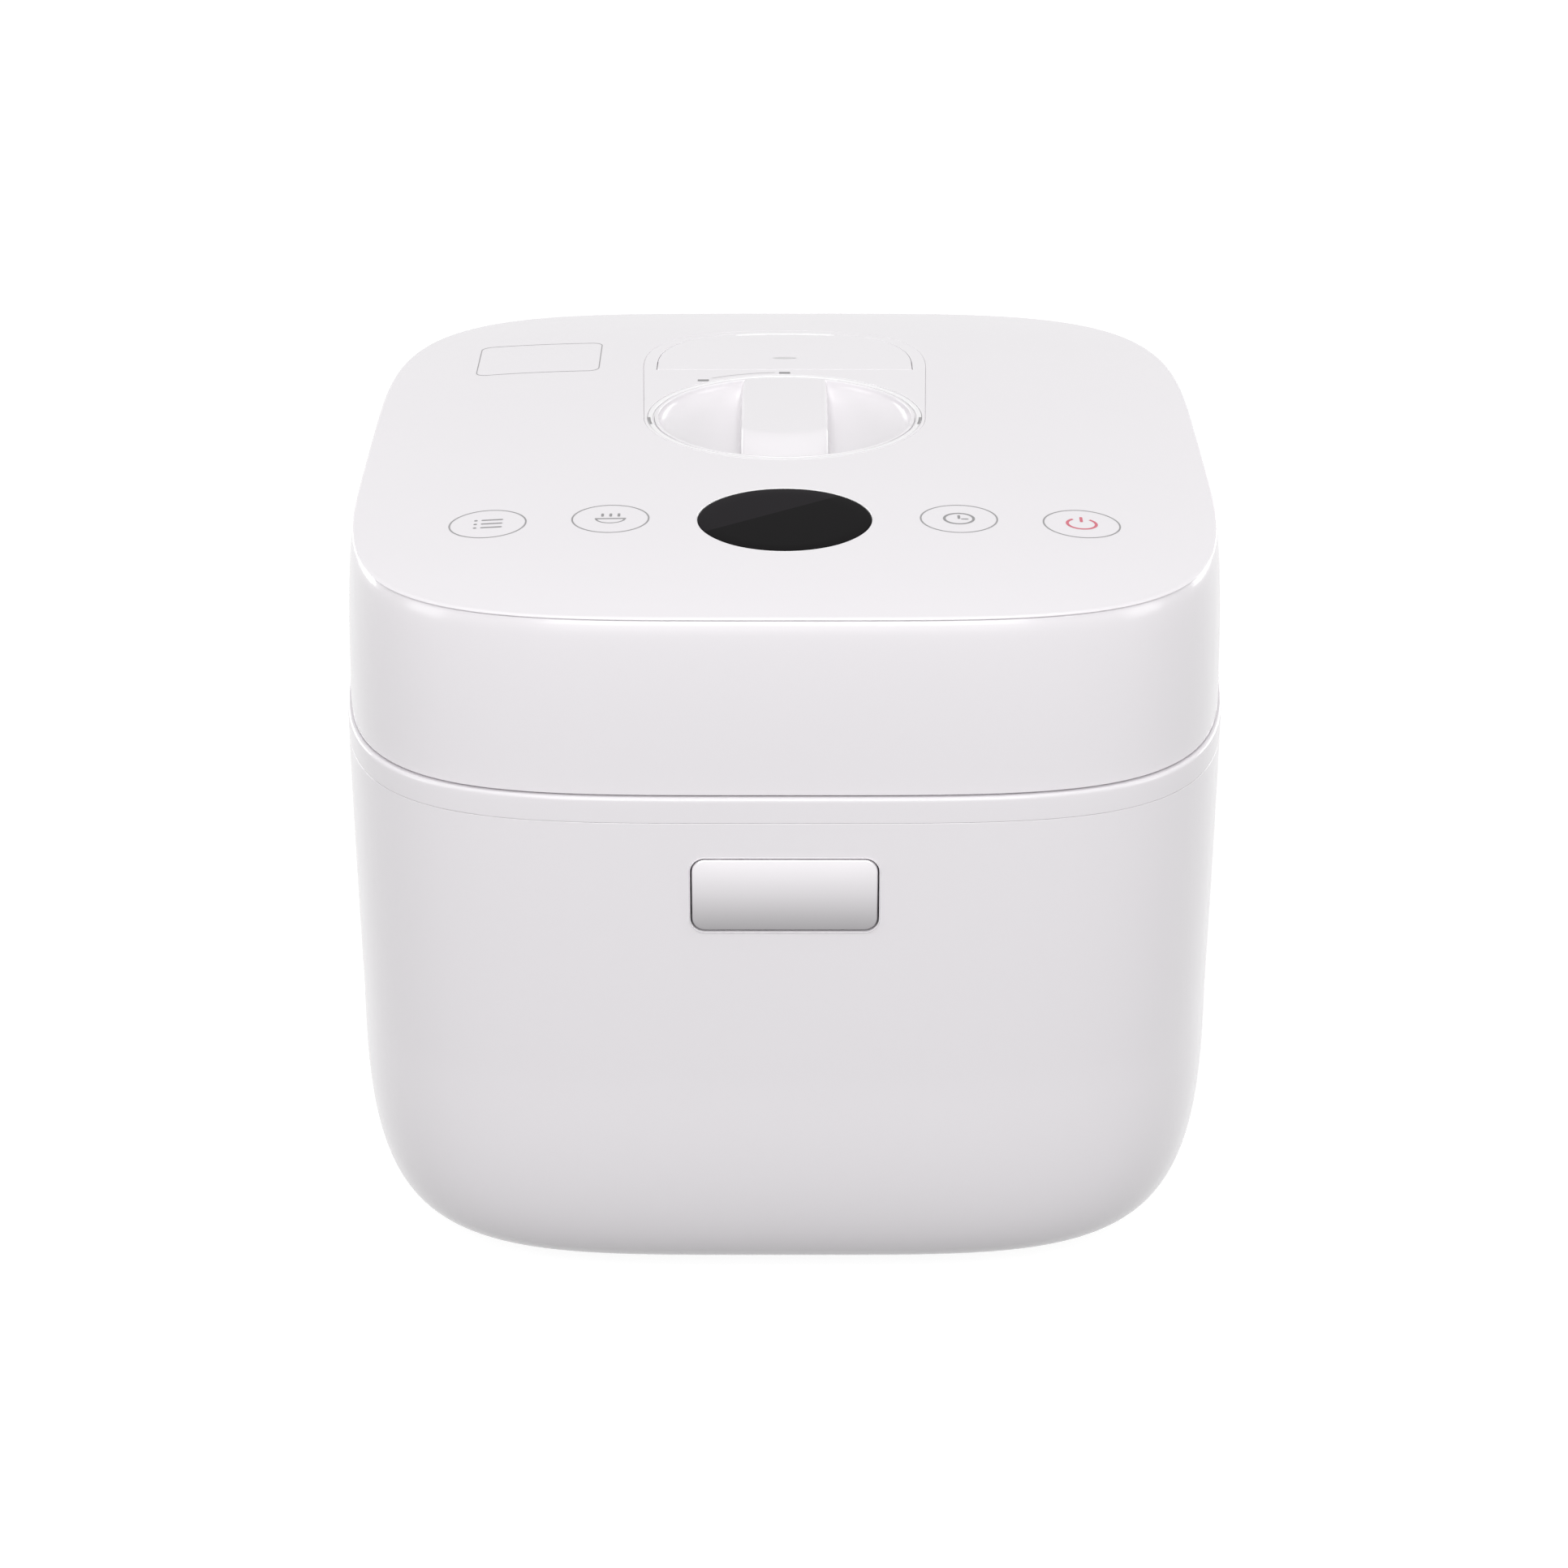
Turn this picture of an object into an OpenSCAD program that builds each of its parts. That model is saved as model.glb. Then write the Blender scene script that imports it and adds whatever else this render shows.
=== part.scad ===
// Rice cooker with a hinged lid, a rotary lid lock and a front release button.
// Millimetres. The origin is on the table, under the centre of the whole cooker.
// +X is the cooker's right, -Y its front, +Z up.

/* [Body] */
// Width of the body at the seam between body and lid
body_w = 264; // [255:1:285]
// Depth of the body at that seam, without the hinge housing
body_d = 303; // [296:1:325]
// How square the rounded outline is, 2 is an ellipse
corner_power = 4.3; // [3.8:0.1:5]
// Wall of the outer shells
wall = 2.5; // [2:0.1:3]
// How far the two rims flare out at the seam
rim_flare = 0.8; // [0.4:0.1:1.2]
// Open gap between body and lid
seam_gap = 0.8; // [0.6:0.1:1.2]
// Height of the collar band under the seam
collar_h = 8; // [7:0.5:10]
// Height of the rounded lower edge of the body
bottom_round_h = 88; // [75:1:95]
// How far the rounded lower edge comes in
bottom_round_in = 34; // [28:1:38]

/* [Lid] */
// Height of the lid wall above the seam
lid_h = 52; // [50:1:58]
// Height of the crown of the top panel
crown_h = 6.7; // [5:0.1:8]
// How far the lid wall leans in at its top
lid_lean = 3; // [2:0.1:5]
// Thickness of the top panel
panel_t = 2.5; // [2:0.1:3]

/* [Knob] */
// Distance of the knob's axis behind the middle of the body
knob_y = 17; // [14:1:20]
// Radius of the rotary knob
knob_r = 40.7; // [38:0.1:41.5]
// Depth of the finger recesses in the knob
recess_depth = 11; // [8:0.5:13]
// Width of the grip bar
grip_w = 27; // [22:0.5:32]
// Turn of the knob from open to locked, in degrees
knob_turn = 35; // [30:1:40]
// Travel of the lock bolt over that turn
bolt_travel = 8; // [7:0.5:9]

/* [Controls] */
// Radius of the round display window
display_r = 25.6; // [22:0.1:27]
// Distance of the display in front of the middle of the body
display_y = 79; // [76:1:82]
// Depth of the display module under the window
display_deep = 4; // [3:0.5:5]
// Width of the front release button
button_w = 53.4; // [44:0.2:58]
// Height of the front release button
button_h = 22.9; // [20:0.1:26]
// Distance of the button's middle below the seam
button_drop = 30; // [28:1:34]
// Travel of the release button
button_travel = 4; // [3:0.5:5]

/* [Pot] */
// Inner radius of the cooking pot
pot_r = 98; // [92:1:100]
// Wall of the cooking pot
pot_wall = 2; // [1.5:0.1:2.5]
// Depth of the cooking pot inside
pot_depth = 114; // [104:1:116]
// Radius of the rounded pot bottom, inside
pot_round = 30; // [24:1:34]
// Room for the coil and the electronics, from the body's lower edge to the pot's floor
under_pot = 42.5; // [42:0.5:60]

/* [Steam] */
// Distance of the steam valve behind the middle of the body
valve_y = 86; // [84:1:90]
// Lift of the pressure weight
weight_lift = 3; // [2:0.5:4]

/* [Feet] */
// Height of the feet under the shell
foot_h = 3; // [2:0.5:5]
// Radius of the feet
foot_r = 11; // [8:0.5:12]

/* [Hinge] */
// Distance of the hinge axis behind the body's rear wall
hinge_back = 11; // [10:0.5:13]
// Height of the hinge axis above the seam
hinge_up = 2; // [1:0.5:3]
// Radius of the hinge pin
hinge_pin_r = 2.5; // [2:0.1:3]

/* [Hidden] */
$fn = 96;
outline_steps = 64;       // points round a shell outline
gap = 0.3;                // clearance between loose neighbours
run_gap = 0.05;           // radial clearance of a shaft in its bore
fix_gap = 0.02;           // radial clearance of a pin fixed in its bore
skin = 0.01;              // overlap that makes a cut clean
through = 40;             // height of a cutter that goes right through a plate
coil_gap = 0.7;           // widest gap between the turns of a spring

// Heights
shell_z = foot_h;
pot_rim_drop = 3.1;       // depth of the pot's rim under the body's upper edge
seam_z = shell_z + under_pot + pot_depth + pot_rim_drop + seam_gap / 2;
knee_z = shell_z + bottom_round_h;
collar_z = seam_z - collar_h;
body_rim_z = seam_z - seam_gap / 2;
lid_rim_z = seam_z + seam_gap / 2;
panel_z = seam_z + lid_h;
top_z = panel_z + crown_h;

// Plan
half_w = body_w / 2;
half_d = body_d / 2;
knee_in = 1.2;            // taper of the body wall between seam and knee
round_power = 3.7;        // squareness of the lower edge
crown_power = 3.74;       // squareness of the crown
edge_t = 0.7;             // height of the top panel's outer edge
hinge_y = half_d + hinge_back;
hinge_z = seam_z + hinge_up;
knuckle_r = hinge_pin_r + 4.3;
housing_back = hinge_y + 10;
shift_y = -(housing_back - half_d - rim_flare) / 2;

ear_in = 30;              // inner face of the housing's ears, from the middle
arm_half = ear_in - 3;    // half width of the lid's hinge arm
pin_half = ear_in + 15;
spring_x = ear_in - 7;
spring_pocket = 12;

// Bay of the dew cup in the rear housing, and the tongue that hooks into the shell
bay_w = 80;
bay_h = 42;
bay_z = hinge_z - 64;
tongue_w = 48;
tongue_h = 7;
tongue_z = bay_z + bay_h - 5;

// Pot and well
pot_rim_t = 2;
pot_rim_w = 6;
pot_out_r = pot_r + pot_wall;
pot_rim_r = pot_out_r + pot_rim_w;
pot_rim_z = body_rim_z - pot_rim_drop;
pot_floor_z = pot_rim_z - pot_depth;
pot_bottom_z = pot_floor_z - pot_wall;
well_gap = 1.6;
well_wall = 1;
well_r = pot_out_r + well_gap;
mouth_r = pot_rim_r + 1.3;
carrier_t = 2.5;
carrier_gap = 2.4;        // between the pot's bottom and the coil carrier
carrier_top_z = pot_bottom_z - carrier_gap;
carrier_z = carrier_top_z - carrier_t;
coil_wire_r = 2.1;
coil_first_r = 30;
coil_pitch = 4.7;
coil_turns = 9;
ferrite_h = 4;

// Sensor
sensor_r = 13;
sensor_travel = 3;
sensor_stem_r = 4;
sensor_cup_r = sensor_r + 1;
sensor_floor_z = carrier_z - 13 - sensor_travel;

// Base plate
base_t = 2.5;
base_half_w = half_w - bottom_round_in - 10;
base_half_d = half_d - bottom_round_in - 10;
base_z = shell_z + 0.2;
base_top_z = base_z + base_t;
ledge_w = 8;              // ledge of the shell over the base plate's edge
ledge_top_z = base_top_z + wall;
screw_r = 1.5;
screw_head_h = 1.6;
base_screw_x = base_half_w - ledge_w / 2;
base_screw_y = 45;
foot_x = base_half_w - 2 * foot_r;
foot_y = base_half_d - 2.5 * foot_r;
slot_w = 2.4;             // width of a vent slot
slot_pitch = 5;
leg_at = 62;              // distance of the carrier's legs from the middle
leg_r = 4.5;

// Electronics
fan_size = 60;
fan_h = 15;
fan_x = -44;
fan_y = 38;
fan_z = base_top_z + 2;
board_w = base_half_w - ledge_w - leg_r - 5.5;
board_l = 62;
board_t = 1.6;
board_x = leg_r + 1.5 + board_w / 2;
board_y = -40;
board_z = base_top_z + 6;
board_hole_x = board_w / 2 - 5;
board_hole_y = board_l / 2 - 5;
inlet_x = 30;
inlet_z = shell_z + 50;
inlet_w = 34;
inlet_h = 28;
inlet_deep = 24;
inlet_pin_w = 2;
inlet_pin_h = 5;

// Button and latch
button_z = seam_z - button_drop;
button_corner = 4;
button_t = 4.5;
button_proud = 0.2;       // how far the button and its bezel stand out
bezel_rim = 1.2;
bezel_deep = button_travel + 9;
button_front = -half_d + knee_in / 4 - button_proud;
latch_y = -half_d + 21;
latch_z = button_z + 15;
latch_pin_r = 1.5;
claw_x = 20;
claw_w = 6;
claw_t = 4;
claw_reach = 3.5;         // overlap of the claw over the striker plate
striker_t = 1.5;
liner_t = 2.5;
striker_z = lid_rim_z + liner_t;
claw_z = striker_z + striker_t + gap;
claw_h = 3.2;
stem_r = 5;
nose_r = 1.5;
nose_length = 3;
lever_end_y = button_front + bezel_deep + 3.5;
stem_length = lever_end_y - gap - nose_length - button_front - button_t + 0.1;

// Lock
shaft_r = 6;
crank_r = bolt_travel / sin(knob_turn);
crank_pin_r = 2;
bolt_t = 3.6;
bolt_w = 10;
bolt_z = lid_rim_z + 5.5;
bolt_top_z = bolt_z + bolt_t;
crank_z = bolt_top_z + 1.2;
crank_t = 3;
keeper_y = -(mouth_r + 8.5);
keeper_t = 4;
keeper_w = 22;
bolt_tip_y = keeper_y + keeper_t / 2 + 1.5;

// Knob
knob_z = top_z - 17;
knob_top_z = top_z - 0.2;
knob_rim_w = 1.8;
housing_floor_t = 3;
housing_wall = 1.8;
housing_r = knob_r + 0.4;
housing_out_r = housing_r + housing_wall;
housing_z = knob_z - 0.6 - housing_floor_t;
guide_z = housing_z - 19;
clip_t = 1.4;
mount_x = housing_out_r - 12;

// Inlay round the knob and the steam cover
inlay_gap = 0.3;
inlay_r = housing_out_r + 1.1;
inlay_side = inlay_r + 1.7;
inlay_mid_y = knob_y + 53;
inlay_back = 46;
inlay_power = 2.5;
cover_y = inlay_mid_y - 4;
cover_side = inlay_side - 4.4;
cover_back = inlay_back - 3.4;
cover_gap = 0.3;
cover_skirt = 6;
weight_r = 8;
weight_h = 7;
float_x = 22;
float_r = 2.5;
valve_r = 12;

// Lid liner
tub_r = 88;
tub_top_z = lid_rim_z + 5.2;
tub_t = 2;
lid_dome_z = tub_top_z - tub_t - 0.4;
arm_t = 5;
arm_screw_x = 20;
arm_screw_y = half_d - 22;
lid_plate_r = pot_rim_r - 1.6;
lid_plate_t = 1.6;
seal_t = 1.2;
seal_z = pot_rim_z + gap;
lid_plate_z = seal_z + seal_t;
vent_r = 3;

// Display window, its drop under the top of the crown and its lean with the crown
window_t = 2.2;
display_sink = 0.75;
display_lean = 1.8;

// Touch keys
key_outer = [86.9, -display_y - 1.4];
key_inner = [51, -display_y];
touch_board_z = panel_z - 9;
touch_board_t = 1.6;
board_post_x = [-100, -68, 68, 100];
board_post_y = -62;
touch_board_w = 206;
touch_board_d = 40;
touch_board_y = -display_y + 1;

// Posts that join the liner to the lid
post_x = half_w - 24;
post_y = half_d - 39.5;
post_r = 4.5;
post_h = 20;

// Outline of a shell as a closed ring of points
function power_sign(v, p) = sign(v) * pow(abs(v), p);
function outline_point(a, b, t) = [
    a * power_sign(cos(t), 2 / corner_power),
    b * power_sign(sin(t), 2 / corner_power)
];
function outline(a, b, steps = outline_steps) = [
    for (i = [0 : steps - 1]) outline_point(a, b, 360 * i / steps)
];

// Half width of the body at a height, where the depth keeps the same inset
function body_inset(z) =
    z >= knee_z
        ? knee_in * (seam_z - z) / (seam_z - knee_z)
        : let (drop = (knee_z - z) / bottom_round_h)
          knee_in + bottom_round_in * (1 - pow(max(0, 1 - pow(drop, round_power)), 1 / round_power));
// Heights of the rounded lower edge, closer together towards the bottom
round_heights = [for (i = [0 : 9]) knee_z - bottom_round_h * pow(sin(i * 10), 2 / round_power)];

// Height of the crown over a point of the lid
function crown_z(k) = panel_z + edge_t + (crown_h - edge_t) * (1 - pow(k, crown_power));
cover_under_z = crown_z(0.8) - panel_t;
valve_top_z = cover_under_z - weight_h - weight_lift - 4;

// Solid made of rings [inset or half sizes, z] of the same outline, capped at both ends
module loft_solid(rings) {
    n = outline_steps;
    points = [for (r = rings) for (p = outline(r[0], r[1])) [p[0], p[1], r[2]]];
    sides = [for (j = [0 : len(rings) - 2]) for (i = [0 : n - 1])
        [j * n + i, j * n + (i + 1) % n, (j + 1) * n + (i + 1) % n, (j + 1) * n + i]];
    bottom = [[for (i = [0 : n - 1]) n - 1 - i]];
    top = [[for (i = [0 : n - 1]) (len(rings) - 1) * n + i]];
    polyhedron(points, [for (f = concat(bottom, sides, top)) [for (i = [len(f) - 1 : -1 : 0]) f[i]]]);
}

// Ring made by sweeping a closed profile [half width, half depth, z] round the outline
module loft_ring(profile) {
    n = outline_steps;
    m = len(profile);
    points = [for (r = profile) for (p = outline(r[0], r[1])) [p[0], p[1], r[2]]];
    faces = [for (j = [0 : m - 1]) for (i = [0 : n - 1])
        [j * n + i, ((j + 1) % m) * n + i, ((j + 1) % m) * n + (i + 1) % n, j * n + (i + 1) % n]];
    polyhedron(points, faces);
}

// Point of a profile, given as an inset from the body's outline
function inset_ring(inset, z) = [half_w - inset, half_d - inset, z];

// Slab that follows the crown, from the top surface down by t
module crown_slab(t, edge_in) {
    ks = [0.2, 0.4, 0.55, 0.68, 0.78, 0.86, 0.92, 0.96];
    edge_w = half_w - edge_in;
    edge_d = half_d - edge_in;
    loft_solid(concat(
        [for (k = ks) [k * edge_w, k * edge_d, crown_z(k) - t]],
        [[edge_w - 0.2, edge_d - 0.2, panel_z],
         [edge_w, edge_d, panel_z + 0.3],
         [edge_w - 0.5, edge_d - 0.5, panel_z + edge_t + 0.1]],
        [for (i = [len(ks) - 1 : -1 : 0]) [ks[i] * edge_w, ks[i] * edge_d, crown_z(ks[i])]]
    ));
}

// Outline of the inlay, grown by e: a circle round the knob and a squarish arc behind it
function inlay_outline(e) = concat(
    [for (t = [180 : 10 : 360]) [(inlay_r + e) * cos(t), knob_y + (inlay_r + e) * sin(t)]],
    [for (t = [0 : 10 : 180]) [
        (inlay_side + e) * power_sign(cos(t), 2 / inlay_power),
        inlay_mid_y + (inlay_back + e) * power_sign(sin(t), 2 / inlay_power)
    ]]
);

// D-shaped outline of the steam cover, grown by e
function cover_outline(e) = concat(
    [[-cover_side - e, cover_y - e], [cover_side + e, cover_y - e]],
    [for (t = [5 : 10 : 175]) [
        (cover_side + e) * power_sign(cos(t), 2 / inlay_power),
        inlay_mid_y + (cover_back + e) * power_sign(sin(t), 2 / inlay_power)
    ]]
);

// Round bar along Z
module rod(r, h) {
    cylinder(r = r, h = h);
}

// Tube along Z
module tube(outer, inner, h) {
    difference() {
        cylinder(r = outer, h = h);
        translate([0, 0, -1]) cylinder(r = inner, h = h + 2);
    }
}

// Box with its middle at x, y and its bottom at z
module block(x, y, z, w, d, h) {
    translate([x - w / 2, y - d / 2, z]) cube([w, d, h]);
}

// Rounded rectangle w by h in the XY plane
module round_rect(w, h, r) {
    square([w - 2 * r, h], center = true);
    square([w, h - 2 * r], center = true);
    for (x = [-1, 1], y = [-1, 1]) translate([x * (w / 2 - r), y * (h / 2 - r)]) circle(r = r);
}

// Stack of rings that stands for a coil spring along Z
module coil_spring(r, wire_r, length) {
    turns = ceil((length - 2 * wire_r) / (2 * wire_r + coil_gap)) + 1;
    step = (length - 2 * wire_r) / (turns - 1);
    for (i = [0 : turns - 1])
        translate([0, 0, wire_r + i * step])
            rotate_extrude($fn = 48) translate([r, 0]) circle(r = wire_r, $fn = 16);
}

// Outline drawn in X and Z, given its thickness from y to y + t
module upright(y, t) {
    translate([0, y + t, 0]) rotate([90, 0, 0]) linear_extrude(t) children();
}

// Outline drawn in Y and Z, given its width from x - w/2 to x + w/2
module side_plate(x, w) {
    translate([x - w / 2, 0, 0]) rotate([90, 0, 90]) linear_extrude(w) children();
}

// Screw along Z with its head at the bottom, given the length below the head
module screw(length) {
    cylinder(r = screw_r * 1.9, h = screw_head_h, $fn = 32);
    translate([0, 0, screw_head_h - skin]) cylinder(r = screw_r, h = length + skin, $fn = 32);
}

module at_corners(x, y) {
    for (sx = [-1, 1], sy = [-1, 1]) translate([sx * x, sy * y, 0]) children();
}

// ---- Lower body ----

// White outer shell with a rounded lower edge, open at the bottom for the base plate
module outer_shell() color("white") {
    outside = concat(
        [inset_ring(body_inset(collar_z), collar_z - gap)],
        [for (z = round_heights) inset_ring(body_inset(z), z)]
    );
    opening_in = half_w - base_half_w - gap;
    inner_drop = (knee_z - ledge_top_z) / bottom_round_h;
    inside = concat(
        [inset_ring(opening_in, shell_z), inset_ring(opening_in, base_top_z)],
        [inset_ring(opening_in + ledge_w, base_top_z), inset_ring(opening_in + ledge_w, ledge_top_z)],
        [for (i = [9 : -1 : 0])
            let (z = round_heights[i]) inset_ring(body_inset(z) + wall, knee_z - (knee_z - z) * inner_drop)],
        [inset_ring(body_inset(collar_z) + wall, collar_z - gap)]
    );
    difference() {
        loft_ring(concat(outside, inside));
        upright(-half_d - 2, wall + 6)
            translate([0, button_z]) round_rect(button_w + 2 * bezel_rim + gap, button_h + 2 * bezel_rim + gap, 5);
        block(inlet_x, half_d, inlet_z - inlet_h / 2 - gap, inlet_w + 2 * gap, 30, inlet_h + 2 * gap);
        block(0, half_d, tongue_z - gap, tongue_w + 2 * gap, 30, tongue_h + 2 * gap);
        at_corners(base_screw_x, base_screw_y) rod(screw_r + fix_gap, ledge_top_z + 1);
    }
}

// Upper rim of the body: outer band, deck and the seat of the pot's rim
module collar_ring() color("white") {
    difference() {
        loft_solid([
            inset_ring(body_inset(collar_z), collar_z),
            inset_ring(0.1, seam_z - 4.5),
            inset_ring(-rim_flare, seam_z - 2),
            inset_ring(-rim_flare, body_rim_z - 0.4),
            inset_ring(-rim_flare + 0.4, body_rim_z)
        ]);
        translate([0, 0, pot_rim_z - pot_rim_t]) rod(mouth_r, 20);
        translate([0, 0, collar_z - 1]) rod(well_r + well_wall + 0.4, 20);
        difference() {
            loft_solid([inset_ring(body_inset(collar_z) + 3, collar_z - 1), inset_ring(3.5, body_rim_z - 3)]);
            translate([0, 0, collar_z - 2]) rod(mouth_r + 4, 20);
        }
        for (x = [-claw_x, claw_x]) block(x, latch_y - 1, collar_z, claw_w + 2, 14, 20);
        block(0, keeper_y, collar_z - 1, keeper_w + 2 * fix_gap, keeper_t + 2 * fix_gap, 20);
    }
}

// Metal well that the pot hangs in, with a flange under the collar
module pot_well() color("silver") {
    bottom_z = pot_bottom_z + pot_round + 4;
    rotate_extrude()
        polygon([
            [well_r, bottom_z], [well_r + well_wall, bottom_z],
            [well_r + well_wall, collar_z - 1], [mouth_r + 3, collar_z - 1],
            [mouth_r + 3, collar_z], [well_r, collar_z]
        ]);
}

// Profile of a dish: floor from an inner radius, rounded corner, then a short wall
function dish_arc(r, z, round) = [
    for (t = [0 : 10 : 90]) [r - round + round * sin(t), z + round - round * cos(t)]
];

// Plastic dish under the pot that carries the coil
module coil_carrier() color("ivory") {
    outer_round = pot_round + pot_wall + carrier_gap + carrier_t;
    outer_r = well_r + carrier_t - 0.4;
    wall_z = pot_bottom_z + pot_round + 4;
    rotate_extrude()
        polygon(concat(
            [[sensor_cup_r + 2.2, carrier_z]],
            [for (p = dish_arc(outer_r, carrier_z, outer_round)) if (p[1] < wall_z - 1) p],
            [[outer_r, wall_z], [well_r - 0.6, wall_z]],
            [for (i = [9 : -1 : 0])
                let (p = dish_arc(outer_r - carrier_t, carrier_top_z, outer_round - carrier_t)[i])
                if (p[1] < wall_z - 1) p],
            [[sensor_cup_r + 2.2, carrier_top_z]]
        ));
    for (a = [0 : 90 : 270]) rotate(a)
        difference() {
            translate([leg_at, 0, base_top_z]) rod(leg_r, carrier_z - base_top_z + skin);
            translate([leg_at, 0, base_top_z - 1]) rod(screw_r + fix_gap, 14);
        }
}

// Flat induction coil wound under the carrier
module induction_coil() color("peru") {
    for (i = [0 : coil_turns - 1])
        let (r = coil_first_r + i * coil_pitch)
        if (abs(r - leg_at) > leg_r + coil_wire_r + gap)
            translate([0, 0, carrier_z - coil_wire_r])
                rotate_extrude() translate([r, 0]) circle(r = coil_wire_r, $fn = 24);
}

// Ferrite bars under the coil
module ferrite_bars() color("dimgray") {
    for (a = [0 : 60 : 300]) rotate(a)
        block(coil_first_r + 10, 0, carrier_z - 2 * coil_wire_r - ferrite_h, 24, 10, ferrite_h);
}

// Cup that guides the sensor, fixed under the carrier
module sensor_housing() color("ivory") {
    rotate_extrude()
        polygon([
            [sensor_stem_r + run_gap, sensor_floor_z], [sensor_cup_r + 1.5, sensor_floor_z],
            [sensor_cup_r + 1.5, carrier_z - 1.5], [sensor_cup_r + 6, carrier_z - 1.5],
            [sensor_cup_r + 6, carrier_z], [sensor_cup_r, carrier_z],
            [sensor_cup_r, sensor_floor_z + 2], [sensor_stem_r + run_gap, sensor_floor_z + 2]
        ]);
}

// Round cap that presses on the pot's bottom
module sensor_cap() color("silver") {
    top = pot_bottom_z - gap;
    rotate_extrude()
        polygon([
            [0, sensor_floor_z - 4], [sensor_stem_r, sensor_floor_z - 4],
            [sensor_stem_r, carrier_z - 5], [sensor_r, carrier_z - 5],
            [sensor_r, top - 0.8], [sensor_r - 0.8, top], [0, top]
        ]);
}

module sensor_spring() color("gray") {
    translate([0, 0, sensor_floor_z + 2 + 0.1])
        coil_spring(7.5, 0.6, carrier_z - 5 - sensor_floor_z - 2 - 0.2);
}

// Bottom plate with vents, seats for the feet and screw holes
module base_plate() color("whitesmoke") {
    difference() {
        loft_solid([[base_half_w, base_half_d, base_z], [base_half_w, base_half_d, base_top_z]]);
        for (i = [-5 : 5]) block(fan_x + i * slot_pitch, fan_y, 0, slot_w, fan_size - 16, through);
        for (i = [-4 : 4]) block(board_x + i * slot_pitch, board_y, 0, slot_w, board_l / 2 + 3, through);
        at_corners(base_screw_x, base_screw_y) rod(screw_r + fix_gap, 40);
        for (a = [0 : 90 : 270]) rotate(a) translate([leg_at, 0, 0]) rod(screw_r + fix_gap, 40);
    }
}

// Soft feet, one at each corner
module feet() color("dimgray") {
    at_corners(foot_x, foot_y)
        rotate_extrude()
            polygon([[0, 0], [foot_r - 1, 0], [foot_r, 1], [foot_r, base_z], [0, base_z]]);
}

// Screws of the base plate, which also hold the coil carrier's legs
module base_screws() color("silver") {
    at_corners(base_screw_x, base_screw_y) translate([0, 0, base_z - screw_head_h]) screw(base_t + wall);
    for (a = [0 : 90 : 270]) rotate(a) translate([leg_at, 0, base_z - screw_head_h]) screw(base_t + 10);
}

// Square frame of the cooling fan, with a hub held on three arms
module fan_frame() color("black") {
    translate([fan_x, fan_y, fan_z - 2]) {
        difference() {
            union() {
                block(0, 0, 2, fan_size, fan_size, fan_h);
                at_corners(fan_size / 2 - 5, fan_size / 2 - 5) rod(3.5, 2);
            }
            translate([0, 0, 1]) rod(fan_size / 2 - 2, fan_h + 2);
        }
        for (a = [0 : 120 : 240]) rotate(a) translate([5, -2, 2.2]) cube([fan_size / 2 - 6, 4, 1.4]);
        translate([0, 0, 2.3]) rod(10, 1.4);
        translate([0, 0, 3.5]) rod(1.5, 9);
    }
}

// Fan wheel with its blades
module fan_rotor() color("dimgray") {
    translate([fan_x, fan_y, fan_z + 2.4]) {
        tube(9, 1.5 + run_gap, 10);
        for (a = [0 : 360 / 7 : 350]) rotate(a)
            translate([8.5, 0, 5]) rotate([38, 0, 0]) translate([0, -4.5, -0.6]) cube([17.5, 9, 1.2]);
    }
}

// Circuit board of the power stage on four stand-offs
module power_board() color("darkgreen") {
    difference() {
        block(board_x, board_y, board_z, board_w, board_l, board_t);
        translate([board_x, board_y, board_z - 1]) at_corners(board_hole_x, board_hole_y) rod(screw_r + fix_gap, 6);
    }
}

// Capacitor, relay, choke, transistor heat sink and stand-offs
module board_parts() color("slategray") {
    top = board_z + board_t;
    part_h = 9;
    column = board_w * 0.22;
    sink_w = board_w * 0.19;
    sink_x = board_x + board_w / 2 - sink_w / 2 - 4;
    translate([board_x - column, board_y + 20, top]) rod(7, part_h);
    translate([board_x, board_y + 21, top]) rod(6, part_h);
    block(board_x + column, board_y + 20, top, column, 14, part_h - 1);
    block(board_x + column / 4, board_y - 2, top, sink_w * 1.4, 15, part_h - 1);
    block(sink_x, board_y - 6, top, sink_w, 24, 3);
    for (i = [-2 : 2]) block(sink_x + i * sink_w / 5.4, board_y - 6, top + 3 - 0.1, 1.2, 24, 5);
    block(board_x - 1.35 * column, board_y - 6, top, column, 12, 4);
    translate([board_x, board_y, base_top_z])
        at_corners(board_hole_x, board_hole_y) tube(3.5, screw_r + fix_gap, board_z - base_top_z);
}

module board_screws() color("silver") {
    translate([board_x, board_y, board_z + board_t + screw_head_h])
        at_corners(board_hole_x, board_hole_y) mirror([0, 0, 1]) screw(board_t + 4);
}

// Mains inlet in the rear wall
module inlet_housing() color("black") {
    face_y = half_d - body_inset(inlet_z + inlet_h / 2) + 0.2;
    difference() {
        union() {
            block(inlet_x, face_y - inlet_deep / 2 + skin, inlet_z - inlet_h / 2, inlet_w, inlet_deep, inlet_h);
            block(inlet_x, face_y + 0.9, inlet_z - inlet_h / 2 - 3, inlet_w + 8, 1.8, inlet_h + 6);
        }
        block(inlet_x, face_y - 6, inlet_z - inlet_h / 2 + 4, inlet_w - 8, 18, inlet_h - 8);
        inlet_contacts(fix_gap);
    }
}

// Places of the three contacts, grown by e
module inlet_contacts(e) {
    for (p = [[-7, 3], [0, -3], [7, 3]])
        block(inlet_x + p[0], half_d - inlet_deep + 9, inlet_z + p[1] - inlet_pin_h / 2 - e,
              inlet_pin_w + 2 * e, inlet_deep + 2, inlet_pin_h + 2 * e);
}

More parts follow.
